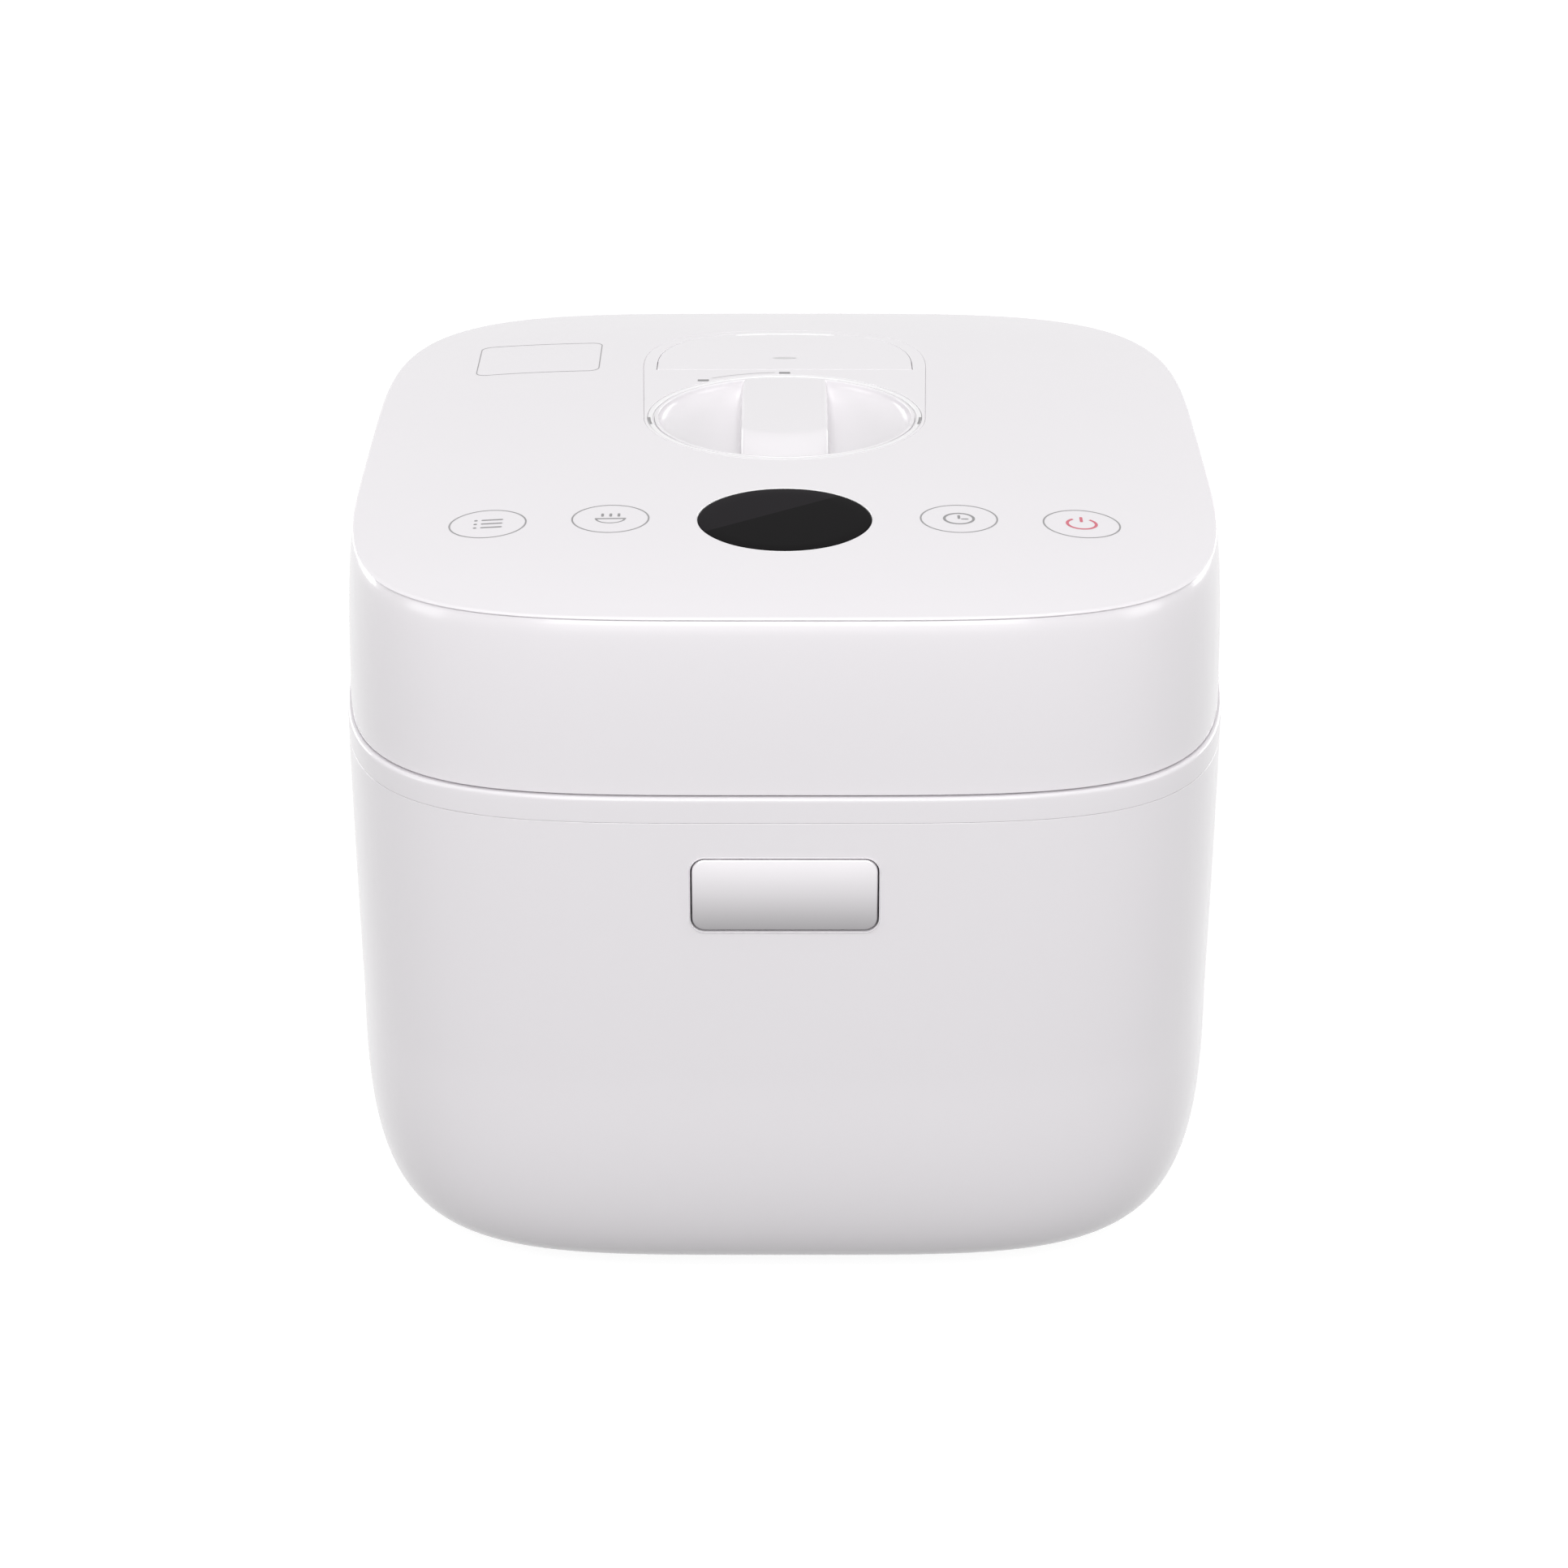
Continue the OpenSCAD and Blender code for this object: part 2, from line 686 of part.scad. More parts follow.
// The three contacts of the inlet
module inlet_pins() color("silver") {
    inlet_contacts(0);
}

// ---- Front button and latch ----

// Trim frame of the release button, a shallow cup with a bore for the stem
module button_bezel() color("gainsboro") {
    front = button_front;
    difference() {
        union() {
            upright(front, bezel_deep)
                translate([0, button_z]) round_rect(button_w + 2 * bezel_rim, button_h + 2 * bezel_rim, 5);
            upright(-half_d + wall + 2, 1.6)
                translate([0, button_z]) round_rect(button_w + 12, button_h + 12, 6);
        }
        upright(front - 1, bezel_deep - 1.2)
            translate([0, button_z]) round_rect(button_w + 2 * gap, button_h + 2 * gap, button_corner);
        translate([0, front, button_z]) rotate([-90, 0, 0]) rod(stem_r + run_gap, bezel_deep + 2);
    }
}

// Front release button with its guide stem
module release_button() color("gainsboro") {
    upright(button_front, button_t)
        translate([0, button_z]) round_rect(button_w, button_h, button_corner - gap);
    translate([0, button_front + button_t - 0.1, button_z]) rotate([-90, 0, 0]) {
        rod(stem_r, stem_length);
        rod(nose_r, stem_length + nose_length);
    }
}

module button_spring() color("gray") {
    free = bezel_deep - 2.2 - button_t;
    translate([0, button_front + button_t + 0.1, button_z]) rotate([-90, 0, 0]) coil_spring(8, 0.6, free - 0.2);
}

// Bracket under the deck with two ears for the latch pin
module latch_bracket() color("silver") {
    deck_z = body_rim_z - 3;
    ear_x = claw_x + claw_w / 2 + 3;
    difference() {
        union() {
            for (s = [-1, 1])
                side_plate(s * ear_x, 2.4)
                    polygon([
                        [latch_y - 6, latch_z - 5], [latch_y + 6, latch_z - 5],
                        [latch_y + 6, deck_z], [latch_y - 6, deck_z]
                    ]);
            for (s = [-1, 1]) block(s * (ear_x + 4), latch_y, deck_z - 2, 10, 12, 2);
        }
        translate([-40, latch_y, latch_z]) rotate([0, 90, 0]) rod(latch_pin_r + fix_gap, 80);
    }
}

module latch_pin() color("silver") {
    length = 2 * (claw_x + claw_w / 2 + 6);
    translate([-length / 2, latch_y, latch_z]) rotate([0, 90, 0]) rod(latch_pin_r, length);
}

// Latch lever: two claws above the pin and one arm below that the button pushes
module latch_hook() color("dimgray") {
    half = claw_x + claw_w / 2;
    arm_w = 16;
    difference() {
        union() {
            translate([-half, latch_y, latch_z]) rotate([0, 90, 0]) rod(4, 2 * half);
            for (s = [-1, 1])
                side_plate(s * claw_x, claw_w)
                    polygon([
                        [latch_y - claw_t / 2, latch_z], [latch_y + claw_t / 2, latch_z],
                        [latch_y + claw_t / 2, claw_z],
                        [latch_y + claw_t / 2 + claw_reach, claw_z],
                        [latch_y + claw_t / 2, claw_z + claw_h],
                        [latch_y - claw_t / 2, claw_z + claw_h]
                    ]);
            side_plate(0, arm_w)
                polygon([
                    [latch_y + 2, latch_z], [latch_y - 2, latch_z],
                    [lever_end_y, button_z + 6], [lever_end_y, button_z - 6],
                    [lever_end_y + 3, button_z - 6], [lever_end_y + 3, button_z + 6]
                ]);
        }
        translate([-40, latch_y, latch_z]) rotate([0, 90, 0]) rod(latch_pin_r + run_gap, 80);
    }
}

// Upright plate on the deck with a window for the lock bolt
module lock_keeper() color("silver") {
    deck_z = body_rim_z;
    top = bolt_top_z + 3;
    difference() {
        union() {
            block(0, keeper_y, deck_z - 3, keeper_w, keeper_t, top - deck_z + 3);
            block(0, keeper_y - 2, deck_z - 5, keeper_w + 8, keeper_t + 6, 2);
        }
        block(0, keeper_y, bolt_z - 0.6, bolt_w + 1.6, keeper_t + 2, bolt_t + 1.2);
    }
}

// ---- Rear ----

// Housing behind the body with the hinge ears and the bay of the dew cup
module rear_housing() color("white") {
    half = bay_w / 2 + 4;
    bottom = bay_z - 2;
    floor_top = bay_z + bay_h + 4;
    difference() {
        union() {
            for (s = [-1, 1])
                side_plate(s * (half + ear_in) / 2, half - ear_in)
                    union() {
                        translate([hinge_y, hinge_z]) circle(r = knuckle_r);
                        polygon([
                            [half_d + 0.4, floor_top - 1], [housing_back - 5, floor_top - 1],
                            [housing_back - 5, floor_top], [housing_back - 1, floor_top],
                            [hinge_y + knuckle_r, hinge_z], [hinge_y - knuckle_r, hinge_z],
                            [half_d + 0.4, hinge_z - 9]
                        ]);
                    }
            translate([0, 0, bottom]) linear_extrude(floor_top - bottom)
                polygon([
                    [-half, half_d + 0.2], [half, half_d + 0.2], [half, housing_back - 5],
                    [half - 1.6, housing_back - 1.6], [half - 5, housing_back],
                    [-half + 5, housing_back], [-half + 1.6, housing_back - 1.6], [-half, housing_back - 5]
                ]);
            block(0, half_d - 1, tongue_z, tongue_w, 5, tongue_h);
        }
        translate([-pin_half - 5, hinge_y, hinge_z]) rotate([0, 90, 0])
            rod(hinge_pin_r + fix_gap, 2 * pin_half + 10);
        block(0, half_d + 2 + 15, bay_z, bay_w, 30, bay_h);
    }
}

// Hinge pin through the ears and the lid's knuckle
module hinge_pin() color("silver") {
    translate([-pin_half, hinge_y, hinge_z]) rotate([0, 90, 0]) rod(hinge_pin_r, 2 * pin_half);
}

// Opening springs round the hinge pin
module hinge_springs() color("gray") {
    for (s = [-1, 1])
        translate([s * spring_x, hinge_y, hinge_z]) rotate([0, 90, 0])
            translate([0, 0, -spring_pocket / 2 + 0.5]) coil_spring(hinge_pin_r + 1.6, 0.7, spring_pocket - 1);
}

// Dew cup that slides out backwards
module dew_cup() color("white") {
    bottom = bay_z + gap;
    cup_h = bay_h - 2 * gap;
    cup_w = bay_w - 2 * gap;
    front = half_d + 2 + gap;
    back = housing_back;
    difference() {
        block(0, (front + back) / 2, bottom, cup_w, back - front, cup_h);
        block(0, (front + back) / 2, bottom + 2, cup_w - 4, back - front - 4, cup_h + 2);
        block(0, back, bottom + cup_h - 16, 30, 2.4, 8);
    }
}

// Cooking pot with a rounded bottom and a flat rim
module inner_pot() color("dimgray") {
    rim = pot_rim_z;
    outer = dish_arc(pot_out_r, pot_bottom_z, pot_round + pot_wall);
    inner = dish_arc(pot_r, pot_floor_z, pot_round);
    rotate_extrude()
        polygon(concat(
            [[0, pot_bottom_z]], outer,
            [[pot_out_r, rim - pot_rim_t], [pot_rim_r, rim - pot_rim_t], [pot_rim_r, rim], [pot_r, rim]],
            [for (i = [len(inner) - 1 : -1 : 0]) inner[i]],
            [[0, pot_floor_z]]
        ));
}

// ---- Lid ----

// Inset of the lid wall at a height above the seam
function lid_inset(h) = lid_lean * pow(h / lid_h, 1.6);

// White wall of the lid with a ledge that carries the top panel
module lid_shell() color("white") {
    heights = [5, 14, 24, 34, 42, 47];
    outside = concat(
        [inset_ring(-rim_flare + 0.4, lid_rim_z), inset_ring(-rim_flare, lid_rim_z + 0.4)],
        [inset_ring(-rim_flare, seam_z + 2)],
        [for (h = heights) inset_ring(lid_inset(h), seam_z + h)],
        [inset_ring(lid_lean + 0.3, panel_z - 0.9), inset_ring(lid_lean + 0.8, panel_z - 0.4)]
    );
    inside = concat(
        [inset_ring(lid_lean + 1.2, panel_z - 0.4), inset_ring(lid_lean + 2.6, panel_z - 1.85)],
        [inset_ring(lid_lean + 8, panel_z - 1.85), inset_ring(lid_lean + 8, panel_z - 3.6)],
        [inset_ring(lid_lean + wall, panel_z - 5.4)],
        [for (i = [4 : -1 : 0]) inset_ring(lid_inset(heights[i]) + wall, seam_z + heights[i])],
        [inset_ring(wall, lid_rim_z)]
    );
    difference() {
        loft_ring(concat(inside, outside));
        block(0, half_d, lid_rim_z - 1, 2 * arm_half + 2, 12, 9.4);
    }
}

// Crowned top panel with the openings of the inlay and the display
module top_panel() color("white") {
    difference() {
        union() {
            crown_slab(panel_t, lid_lean + 0.2);
            intersection() {
                for (x = board_post_x)
                    translate([x, board_post_y, touch_board_z + touch_board_t]) rod(3.2, top_z - touch_board_z);
                crown_slab(14, lid_lean + 4);
            }
        }
        translate([0, 0, panel_z - through / 2]) linear_extrude(through) polygon(inlay_outline(inlay_gap));
        display_place() translate([0, 0, -10]) rod(display_r + gap, 20);
        for (x = board_post_x)
            translate([x, board_post_y, touch_board_z]) rod(screw_r + fix_gap, 8);
    }
}

// Frame of the display, on the crown and leaning forward with it
module display_place() {
    translate([0, -display_y, panel_z + crown_h - display_sink]) rotate([display_lean, 0, 0]) children();
}

// Glossy black display window
module display_window() color("black") {
    display_place() translate([0, 0, -window_t]) rod(display_r, window_t);
}

// Display module under the window
module display_module() color("dimgray") {
    display_place() {
        translate([0, 0, -window_t - display_deep]) rod(display_r, display_deep);
        block(0, 0, -window_t - display_deep - 2, 30, 30, 2.1);
    }
}

// Circuit board under the touch keys
module touch_board() color("darkgreen") {
    difference() {
        block(0, touch_board_y, touch_board_z, touch_board_w, touch_board_d, touch_board_t);
        block(0, -display_y, touch_board_z - 1, 2 * display_r + 10.8, touch_board_d + 20, 5);
        for (x = board_post_x) translate([x, board_post_y, touch_board_z - 1]) rod(screw_r + fix_gap, 5);
    }
    block(0, touch_board_y - touch_board_d / 2 + 1.5, touch_board_z, 2 * display_r + 18.8, 3, touch_board_t);
}

// Contact springs between the board and the touch keys
module touch_springs() color("gray") {
    for (s = [-1, 1]) {
        translate([s * key_outer[0], key_outer[1], touch_board_z + touch_board_t]) coil_spring(7, 0.6, 8.6);
        translate([s * key_inner[0], key_inner[1], touch_board_z + touch_board_t]) coil_spring(7, 0.6, 10.3);
    }
}

// Inner floor of the lid, with a raised middle for the inner lid
module lid_liner() color("whitesmoke") {
    difference() {
        union() {
            loft_solid([inset_ring(wall + gap, lid_rim_z), inset_ring(wall + gap + 0.1, lid_rim_z + liner_t)]);
            translate([0, 0, lid_rim_z]) rod(tub_r + 3, tub_top_z - lid_rim_z);
            for (s = [-1, 1]) block(s * (bolt_w / 2 + gap + 1.5), -50, tub_top_z - 1, 3, 60, 4);
            at_corners(post_x, post_y) translate([0, 0, lid_rim_z]) rod(post_r, post_h);
        }
        translate([0, 0, lid_rim_z - 1]) rod(tub_r, tub_top_z - tub_t - lid_rim_z + 1);
        for (x = [-arm_screw_x, arm_screw_x])
            translate([x, arm_screw_y, lid_rim_z - 1]) rod(screw_r + fix_gap, 15);
        for (x = [-claw_x, claw_x]) block(x, latch_y - 3.4, lid_rim_z - 1, claw_w + 2, 15, 10);
        block(0, keeper_y, lid_rim_z - 1, keeper_w + 3, keeper_t + 3, 10);
        translate([0, valve_y, lid_rim_z]) rod(vent_r + 4, 20);
        at_corners(post_x, post_y) translate([0, 0, lid_rim_z - 1]) rod(screw_r + fix_gap, 15);
        block(0, half_d, lid_rim_z - 1, 2 * arm_half + 3, 16, 9);
    }
}

// Screws that hold the liner to the lid, the board to the panel and the hinge arm to the liner
module lid_screws() color("silver") {
    for (x = board_post_x)
        translate([x, board_post_y, touch_board_z - screw_head_h]) screw(touch_board_t + 5);
    for (x = [-arm_screw_x, arm_screw_x])
        translate([x, arm_screw_y, striker_z + arm_t + screw_head_h]) mirror([0, 0, 1]) screw(arm_t + liner_t - 0.5);
}

// Metal inner lid over the pot
module inner_lid() color("silver") {
    difference() {
        rotate_extrude()
            polygon([
                [0, lid_plate_z], [lid_plate_r, lid_plate_z],
                [lid_plate_r, lid_plate_z + lid_plate_t - 0.4], [tub_r - 2, lid_plate_z + lid_plate_t - 0.4],
                [tub_r - 6, lid_dome_z], [0, lid_dome_z]
            ]);
        rotate_extrude()
            polygon([[0, lid_plate_z - 1], [tub_r - 5, lid_plate_z - 1], [tub_r - 8, lid_dome_z - 1.4], [0, lid_dome_z - 1.4]]);
        translate([0, valve_y - 12, 0]) rod(vent_r, 300);
        translate([float_x, valve_y - 26, 0]) rod(vent_r, 300);
    }
}

// Silicone ring between the inner lid and the pot's rim
module seal_ring() color("white") {
    rotate_extrude()
        polygon([
            [pot_r - 4, seal_z], [lid_plate_r, seal_z], [lid_plate_r, lid_plate_z], [pot_r - 4, lid_plate_z]
        ]);
}

// Striker plate that the claws hold
module latch_plate() color("silver") {
    difference() {
        block(0, latch_y - 1.5, striker_z, 2 * claw_x + 30, 24, striker_t);
        for (x = [-claw_x, claw_x])
            block(x, latch_y + claw_t / 2 + 0.8 - 6.5, striker_z - 1, claw_w + 2, 13, 5);
        block(0, keeper_y, striker_z - 1, keeper_w + 3, keeper_t + 3, 5);
    }
}

// Arm that joins the lid to the hinge pin
module lid_hinge_arm() color("silver") {
    base = striker_z;
    difference() {
        union() {
            side_plate(0, 2 * arm_half)
                union() {
                    translate([hinge_y, hinge_z]) circle(r = knuckle_r - 0.6);
                    polygon([
                        [half_d - 30, base], [half_d - 3.6, base], [half_d - 2, base - 1.2], [hinge_y, hinge_z - 3],
                        [hinge_y, hinge_z + 5.8], [half_d - 2, base + arm_t], [half_d - 30, base + arm_t]
                    ]);
                }
        }
        for (s = [-1, 1]) translate([s * spring_x, hinge_y, hinge_z]) rotate([0, 90, 0])
            translate([0, 0, -spring_pocket / 2]) rod(hinge_pin_r + 2.7, spring_pocket);
        translate([-pin_half, hinge_y, hinge_z]) rotate([0, 90, 0]) rod(hinge_pin_r + run_gap, 2 * pin_half);
        for (x = [-arm_screw_x, arm_screw_x])
            translate([x, arm_screw_y, base - 1]) rod(screw_r + fix_gap, arm_t + 2);
    }
}

// Cup that the knob turns in, with the guide of its shaft
module knob_housing() color("white") {
    translate([0, knob_y, 0]) {
        difference() {
            rotate_extrude()
                polygon([
                    [shaft_r + run_gap, guide_z], [shaft_r + 3, guide_z], [shaft_r + 3, housing_z],
                    [housing_out_r, housing_z], [housing_out_r, knob_top_z - 0.5],
                    [housing_out_r - 0.5, knob_top_z], [housing_r + 0.4, knob_top_z],
                    [housing_r, knob_top_z - 0.4], [housing_r, housing_z + housing_floor_t],
                    [shaft_r + run_gap, housing_z + housing_floor_t]
                ]);
            for (a = [0 : 60 : 300]) rotate(a) translate([26, 0, housing_z - 1]) rod(3.5, 10);
        }
        for (a = [45 : 90 : 315]) rotate(a)
            translate([mount_x, 0, tub_top_z]) rod(4, housing_z - tub_top_z + 0.1);
    }
}

// Smooth inlay plate round the knob and the steam cover
module inlay_frame() color("white") {
    difference() {
        intersection() {
            crown_slab(panel_t, lid_lean + 0.2);
            translate([0, 0, panel_z - through / 2]) linear_extrude(through) polygon(inlay_outline(0));
        }
        translate([0, knob_y, panel_z - through / 2]) rod(housing_out_r + 0.25, through);
        translate([0, 0, panel_z - through / 2]) linear_extrude(through) polygon(cover_outline(cover_gap));
    }
}

// Rotary knob: a round bowl with a flush grip bar across it
module rotary_knob() color("white") {
    rim_r = knob_r - knob_rim_w;
    floor_z = knob_top_z - recess_depth;
    bowl = [for (t = [0 : 9 : 90]) [rim_r * sin(t), floor_z + recess_depth * (1 - cos(t))]];
    translate([0, knob_y, 0]) {
        difference() {
            rotate_extrude()
                polygon([
                    [0, knob_z], [knob_r - 1, knob_z], [knob_r, knob_z + 1], [knob_r, knob_top_z - 0.4],
                    [knob_r - 0.4, knob_top_z], [0, knob_top_z]
                ]);
            difference() {
                rotate_extrude() polygon(concat([[0, knob_top_z + 1]], bowl, [[rim_r, knob_top_z + 1]]));
                side_plate(0, grip_w)
                    polygon([
                        [-rim_r - 1, knob_z], [rim_r + 1, knob_z], [rim_r + 1, knob_top_z],
                        [-rim_r * 0.4, knob_top_z], [-rim_r - 1, floor_z + 1]
                    ]);
            }
            translate([0, 0, knob_z - 1]) rod(shaft_r - 2 + fix_gap, 4);
        }
    }
}

// Shaft under the knob with a crank disc and its pin
module knob_shaft() color("silver") {
    translate([0, knob_y, 0]) {
        translate([0, 0, crank_z + 1]) rod(shaft_r, knob_z - crank_z - 1);
        translate([0, 0, knob_z - 1]) rod(shaft_r - 2, 4);
        translate([0, 0, crank_z]) rod(crank_r + crank_pin_r + 2, crank_t);
        translate([-crank_r, 0, bolt_z + 0.4]) rod(crank_pin_r, crank_z - bolt_z);
    }
}

// Retaining clip on the shaft, above the crank disc
module knob_clip() color("gray") {
    translate([0, knob_y, guide_z - clip_t - 0.4]) tube(shaft_r + 3, shaft_r + fix_gap, clip_t);
}

// Bolt that the crank pushes forward into the keeper
module lock_bolt() color("silver") {
    slot_half = crank_pin_r + 0.45;
    difference() {
        union() {
            block(0, (bolt_tip_y + knob_y + 8) / 2, bolt_z, bolt_w, knob_y + 8 - bolt_tip_y, bolt_t);
            block(-crank_r / 2, knob_y, bolt_z, crank_r + 20, 16, bolt_t);
        }
        block(-crank_r + 1.6, knob_y, bolt_z - 1, 2 * slot_half + 5, 2 * slot_half, bolt_t + 2);
    }
}

// D-shaped cover over the steam valve, with slots at its rear edge
module steam_cover() color("white") {
    difference() {
        union() {
            intersection() {
                crown_slab(panel_t, lid_lean + 0.2);
                translate([0, 0, panel_z - through / 2]) linear_extrude(through) polygon(cover_outline(0));
            }
            intersection() {
                translate([0, 0, -1]) crown_slab(panel_t + cover_skirt, lid_lean + 1);
                translate([0, 0, panel_z - through / 2]) linear_extrude(through)
                    difference() {
                        polygon(cover_outline(-2));
                        polygon(cover_outline(-3.6));
                    }
            }
        }
        for (x = [-16 : 8 : 16]) block(x, inlay_mid_y + cover_back - 3, cover_under_z - 4, 4, 12, 3);
    }
}

// Seat of the steam valve, standing on the liner
module valve_body() color("whitesmoke") {
    base = tub_top_z;
    top = valve_top_z;
    difference() {
        union() {
            translate([0, valve_y, base]) rod(valve_r, top - base);
            translate([0, 0, top - 2]) linear_extrude(2) polygon(cover_outline(-4));
            translate([float_x, valve_y - 4, base]) rod(2 * float_r, top - base - 1);
        }
        translate([0, valve_y, base - 1]) rod(vent_r, top);
        translate([float_x, valve_y - 4, base - 10]) rod(float_r + 2 * run_gap, 100);
    }
}

// Weight that closes the valve and lifts when pressure rises
module pressure_weight() color("silver") {
    translate([0, valve_y, valve_top_z + gap]) {
        rod(weight_r, weight_h);
        translate([0, 0, -6]) rod(vent_r - run_gap, 7);
    }
}

// Small pin that rises while there is pressure
module float_pin() color("silver") {
    translate([float_x, valve_y - 4, valve_top_z - 24]) rod(float_r, 28);
    translate([float_x, valve_y - 4, valve_top_z + 2]) rod(float_r + 1.5, 1.5);
}

module place() {
    translate([0, shift_y, 0]) children();
}

place() outer_shell();
place() collar_ring();
place() pot_well();
place() coil_carrier();
place() induction_coil();
place() ferrite_bars();
place() sensor_housing();
place() sensor_cap();
place() sensor_spring();
place() base_plate();
place() feet();
place() base_screws();
place() fan_frame();
place() fan_rotor();
place() power_board();
place() board_parts();
place() board_screws();
place() inlet_housing();
place() inlet_pins();
place() button_bezel();
place() release_button();
place() button_spring();
place() latch_bracket();
place() latch_pin();
place() latch_hook();
place() lock_keeper();
place() rear_housing();
place() hinge_pin();
place() hinge_springs();
place() dew_cup();
place() inner_pot();
place() lid_shell();
place() top_panel();
place() display_window();
place() display_module();
place() touch_board();
place() touch_springs();
place() lid_liner();
place() lid_screws();
place() inner_lid();
place() seal_ring();
place() latch_plate();
place() lid_hinge_arm();
place() knob_housing();
place() inlay_frame();
place() rotary_knob();
place() knob_shaft();
place() knob_clip();
place() lock_bolt();
place() steam_cover();
place() valve_body();
place() pressure_weight();
place() float_pin();
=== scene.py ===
"""Rice cooker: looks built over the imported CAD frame. Lengths in the tables below are millimetres in the
cooker's own coordinates (x right, y to the rear with 0 at the middle of the body, z up from the table)."""
import math

import bmesh
import bpy
import numpy as np
from mathutils import Matrix, Vector
from mathutils.geometry import delaunay_2d_cdt


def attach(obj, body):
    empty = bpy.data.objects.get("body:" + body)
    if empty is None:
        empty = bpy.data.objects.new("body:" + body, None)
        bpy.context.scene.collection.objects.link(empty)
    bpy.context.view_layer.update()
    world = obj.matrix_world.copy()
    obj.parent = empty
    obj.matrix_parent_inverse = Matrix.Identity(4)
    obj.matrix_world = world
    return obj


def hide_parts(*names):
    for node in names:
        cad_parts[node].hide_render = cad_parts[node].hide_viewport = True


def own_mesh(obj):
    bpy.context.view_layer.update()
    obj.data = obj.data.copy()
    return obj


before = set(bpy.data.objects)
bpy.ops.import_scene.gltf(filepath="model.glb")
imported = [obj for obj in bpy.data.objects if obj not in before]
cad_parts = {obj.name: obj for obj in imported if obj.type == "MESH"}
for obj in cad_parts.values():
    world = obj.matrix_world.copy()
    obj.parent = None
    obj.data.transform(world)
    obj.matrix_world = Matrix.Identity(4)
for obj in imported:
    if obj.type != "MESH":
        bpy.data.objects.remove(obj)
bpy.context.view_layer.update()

# ---------------------------------------------------------------- sizes
SHIFT_Y = -10.1  # from the cooker's y to the frame's
HALF_W, HALF_D, POWER = 132.0, 151.5, 4.3  # widest outline: half width, half depth and squareness
STEPS = 288  # points of that outline
SEAM_Z, PANEL_Z = 163.0, 215.0  # lower edge of the lid, and of the top panel's rim
LID_H = PANEL_Z - SEAM_Z
TAPER, TAPER_H = 1.05, 72.0  # the body's side is TAPER further in at TAPER_H below the seam
SHELL_Z, KNEE_Z, ROUND_IN, ROUND_P = 4.95, 70.5, 28.1, 3.03  # lower rounding: its ends, depth and squareness
BODY_TOP, WALL, FLOOR_IN_Z = 154.88, 2.5, 8.2
BASE_LIP, BASE_LIP_Z, BASE_STEP = 43.7, 5.7, 8  # lip round the base plate: inset, upper side, step
INLET_X, INLET_Z, INLET_HALF_W, INLET_HALF_H = 30, 53, 17.3, 14.3
COLLAR_Z, DECK_Z, DECK_T = 155.0, 162.6, 3.0
MOUTH_R, SEAT_R, SEAT_Z, DECK_R = 107.3, 103.0, 157.5, 111.3
LATCH_X, LATCH_Y = 20, -130.5  # slots that the latch's ears and hook come through
EDGE_IN, PANEL_T = 3.2, 2.5  # top panel: inset of its edge, thickness
CROWN_H, EDGE_T, CROWN_P = 6.7, 0.7, 3.74
ARCH_Y, ARCH_P = 70, 0.8  # rear arch of the inlay and the steam cover: its foot and squareness
INLAY_GAP, COVER_GAP = 0.03, 0.10
KNOB_Y, KNOB_R, KNOB_TOP, HOLE_R = 17.0, 40.7, 221.5, 42.95
RING_TOP = 221.6  # upper edge of the ring that the knob turns in
DISPLAY_Y, DISPLAY_Z, DISPLAY_HOLE = -79, 220.84, 25.75
BUTTON_Z, FACE_Z, BUTTON_FRONT = 133.0, 132.65, -151.65  # spring's axis, middle of the face, front plane
FRAME_W, FRAME_H, FRAME_R, FRAME_FIT = 54.6, 23.5, 4.5, 0.04


def spow(v, p):
    """Power that keeps the sign."""
    return np.sign(v) * np.abs(v) ** p


def squircle(a, b, t):
    """Points of the rounded square outline with half axes a and b."""
    return np.stack([a * spow(np.cos(t), 2 / POWER), b * spow(np.sin(t), 2 / POWER)], -1)


def even_angles():
    """Angles that put the points of the body's outline at even distances."""
    t = np.linspace(0, 2 * math.pi, 16001)
    p = squircle(HALF_W, HALF_D, t)
    s = np.concatenate([[0], np.cumsum(np.linalg.norm(np.diff(p, axis=0), axis=1))])
    return np.interp(np.linspace(0, s[-1], STEPS + 1)[:-1], s, t)


ANGLES = even_angles()


def full_turn(n):
    return np.linspace(0, 2 * math.pi, n, endpoint=False)


def body_inset(z):
    """How far the body's side lies inside its widest outline, above the rounding."""
    return TAPER * ((SEAM_Z - z) / TAPER_H) ** 1.5


def body_round(n=46):
    """[inset, z] down the rounding from the side to the underside."""
    return [(body_inset(KNEE_Z) + ROUND_IN * (1 - max(0.0, math.cos(a)) ** (2 / ROUND_P)),
             KNEE_Z - (KNEE_Z - SHELL_Z) * math.sin(a) ** (2 / ROUND_P))
            for a in np.radians(np.linspace(0, 90, n))]


def lid_inset(h):
    """How far the lid's side lies inside the widest outline at a height over the seam."""
    return 1.1 + 1.9 * (h / LID_H) ** 3


def crown_of(x, y):
    """Height of the top panel's surface over a point."""
    k = (np.abs(x / (HALF_W - EDGE_IN)) ** POWER + np.abs(y / (HALF_D - EDGE_IN)) ** POWER) ** (1 / POWER)
    return PANEL_Z + EDGE_T + (CROWN_H - EDGE_T) * (1 - np.clip(k, 0, 1.05) ** CROWN_P)


# ---------------------------------------------------------------- rings of points
def at_height(p, z):
    """Points [x, y] at one height."""
    return np.column_stack([p, np.full(len(p), float(z))])


def on_crown(p, dz=0.0):
    """Points [x, y] on the top panel's surface, or dz above it."""
    return np.column_stack([p, crown_of(p[:, 0], p[:, 1]) + dz])


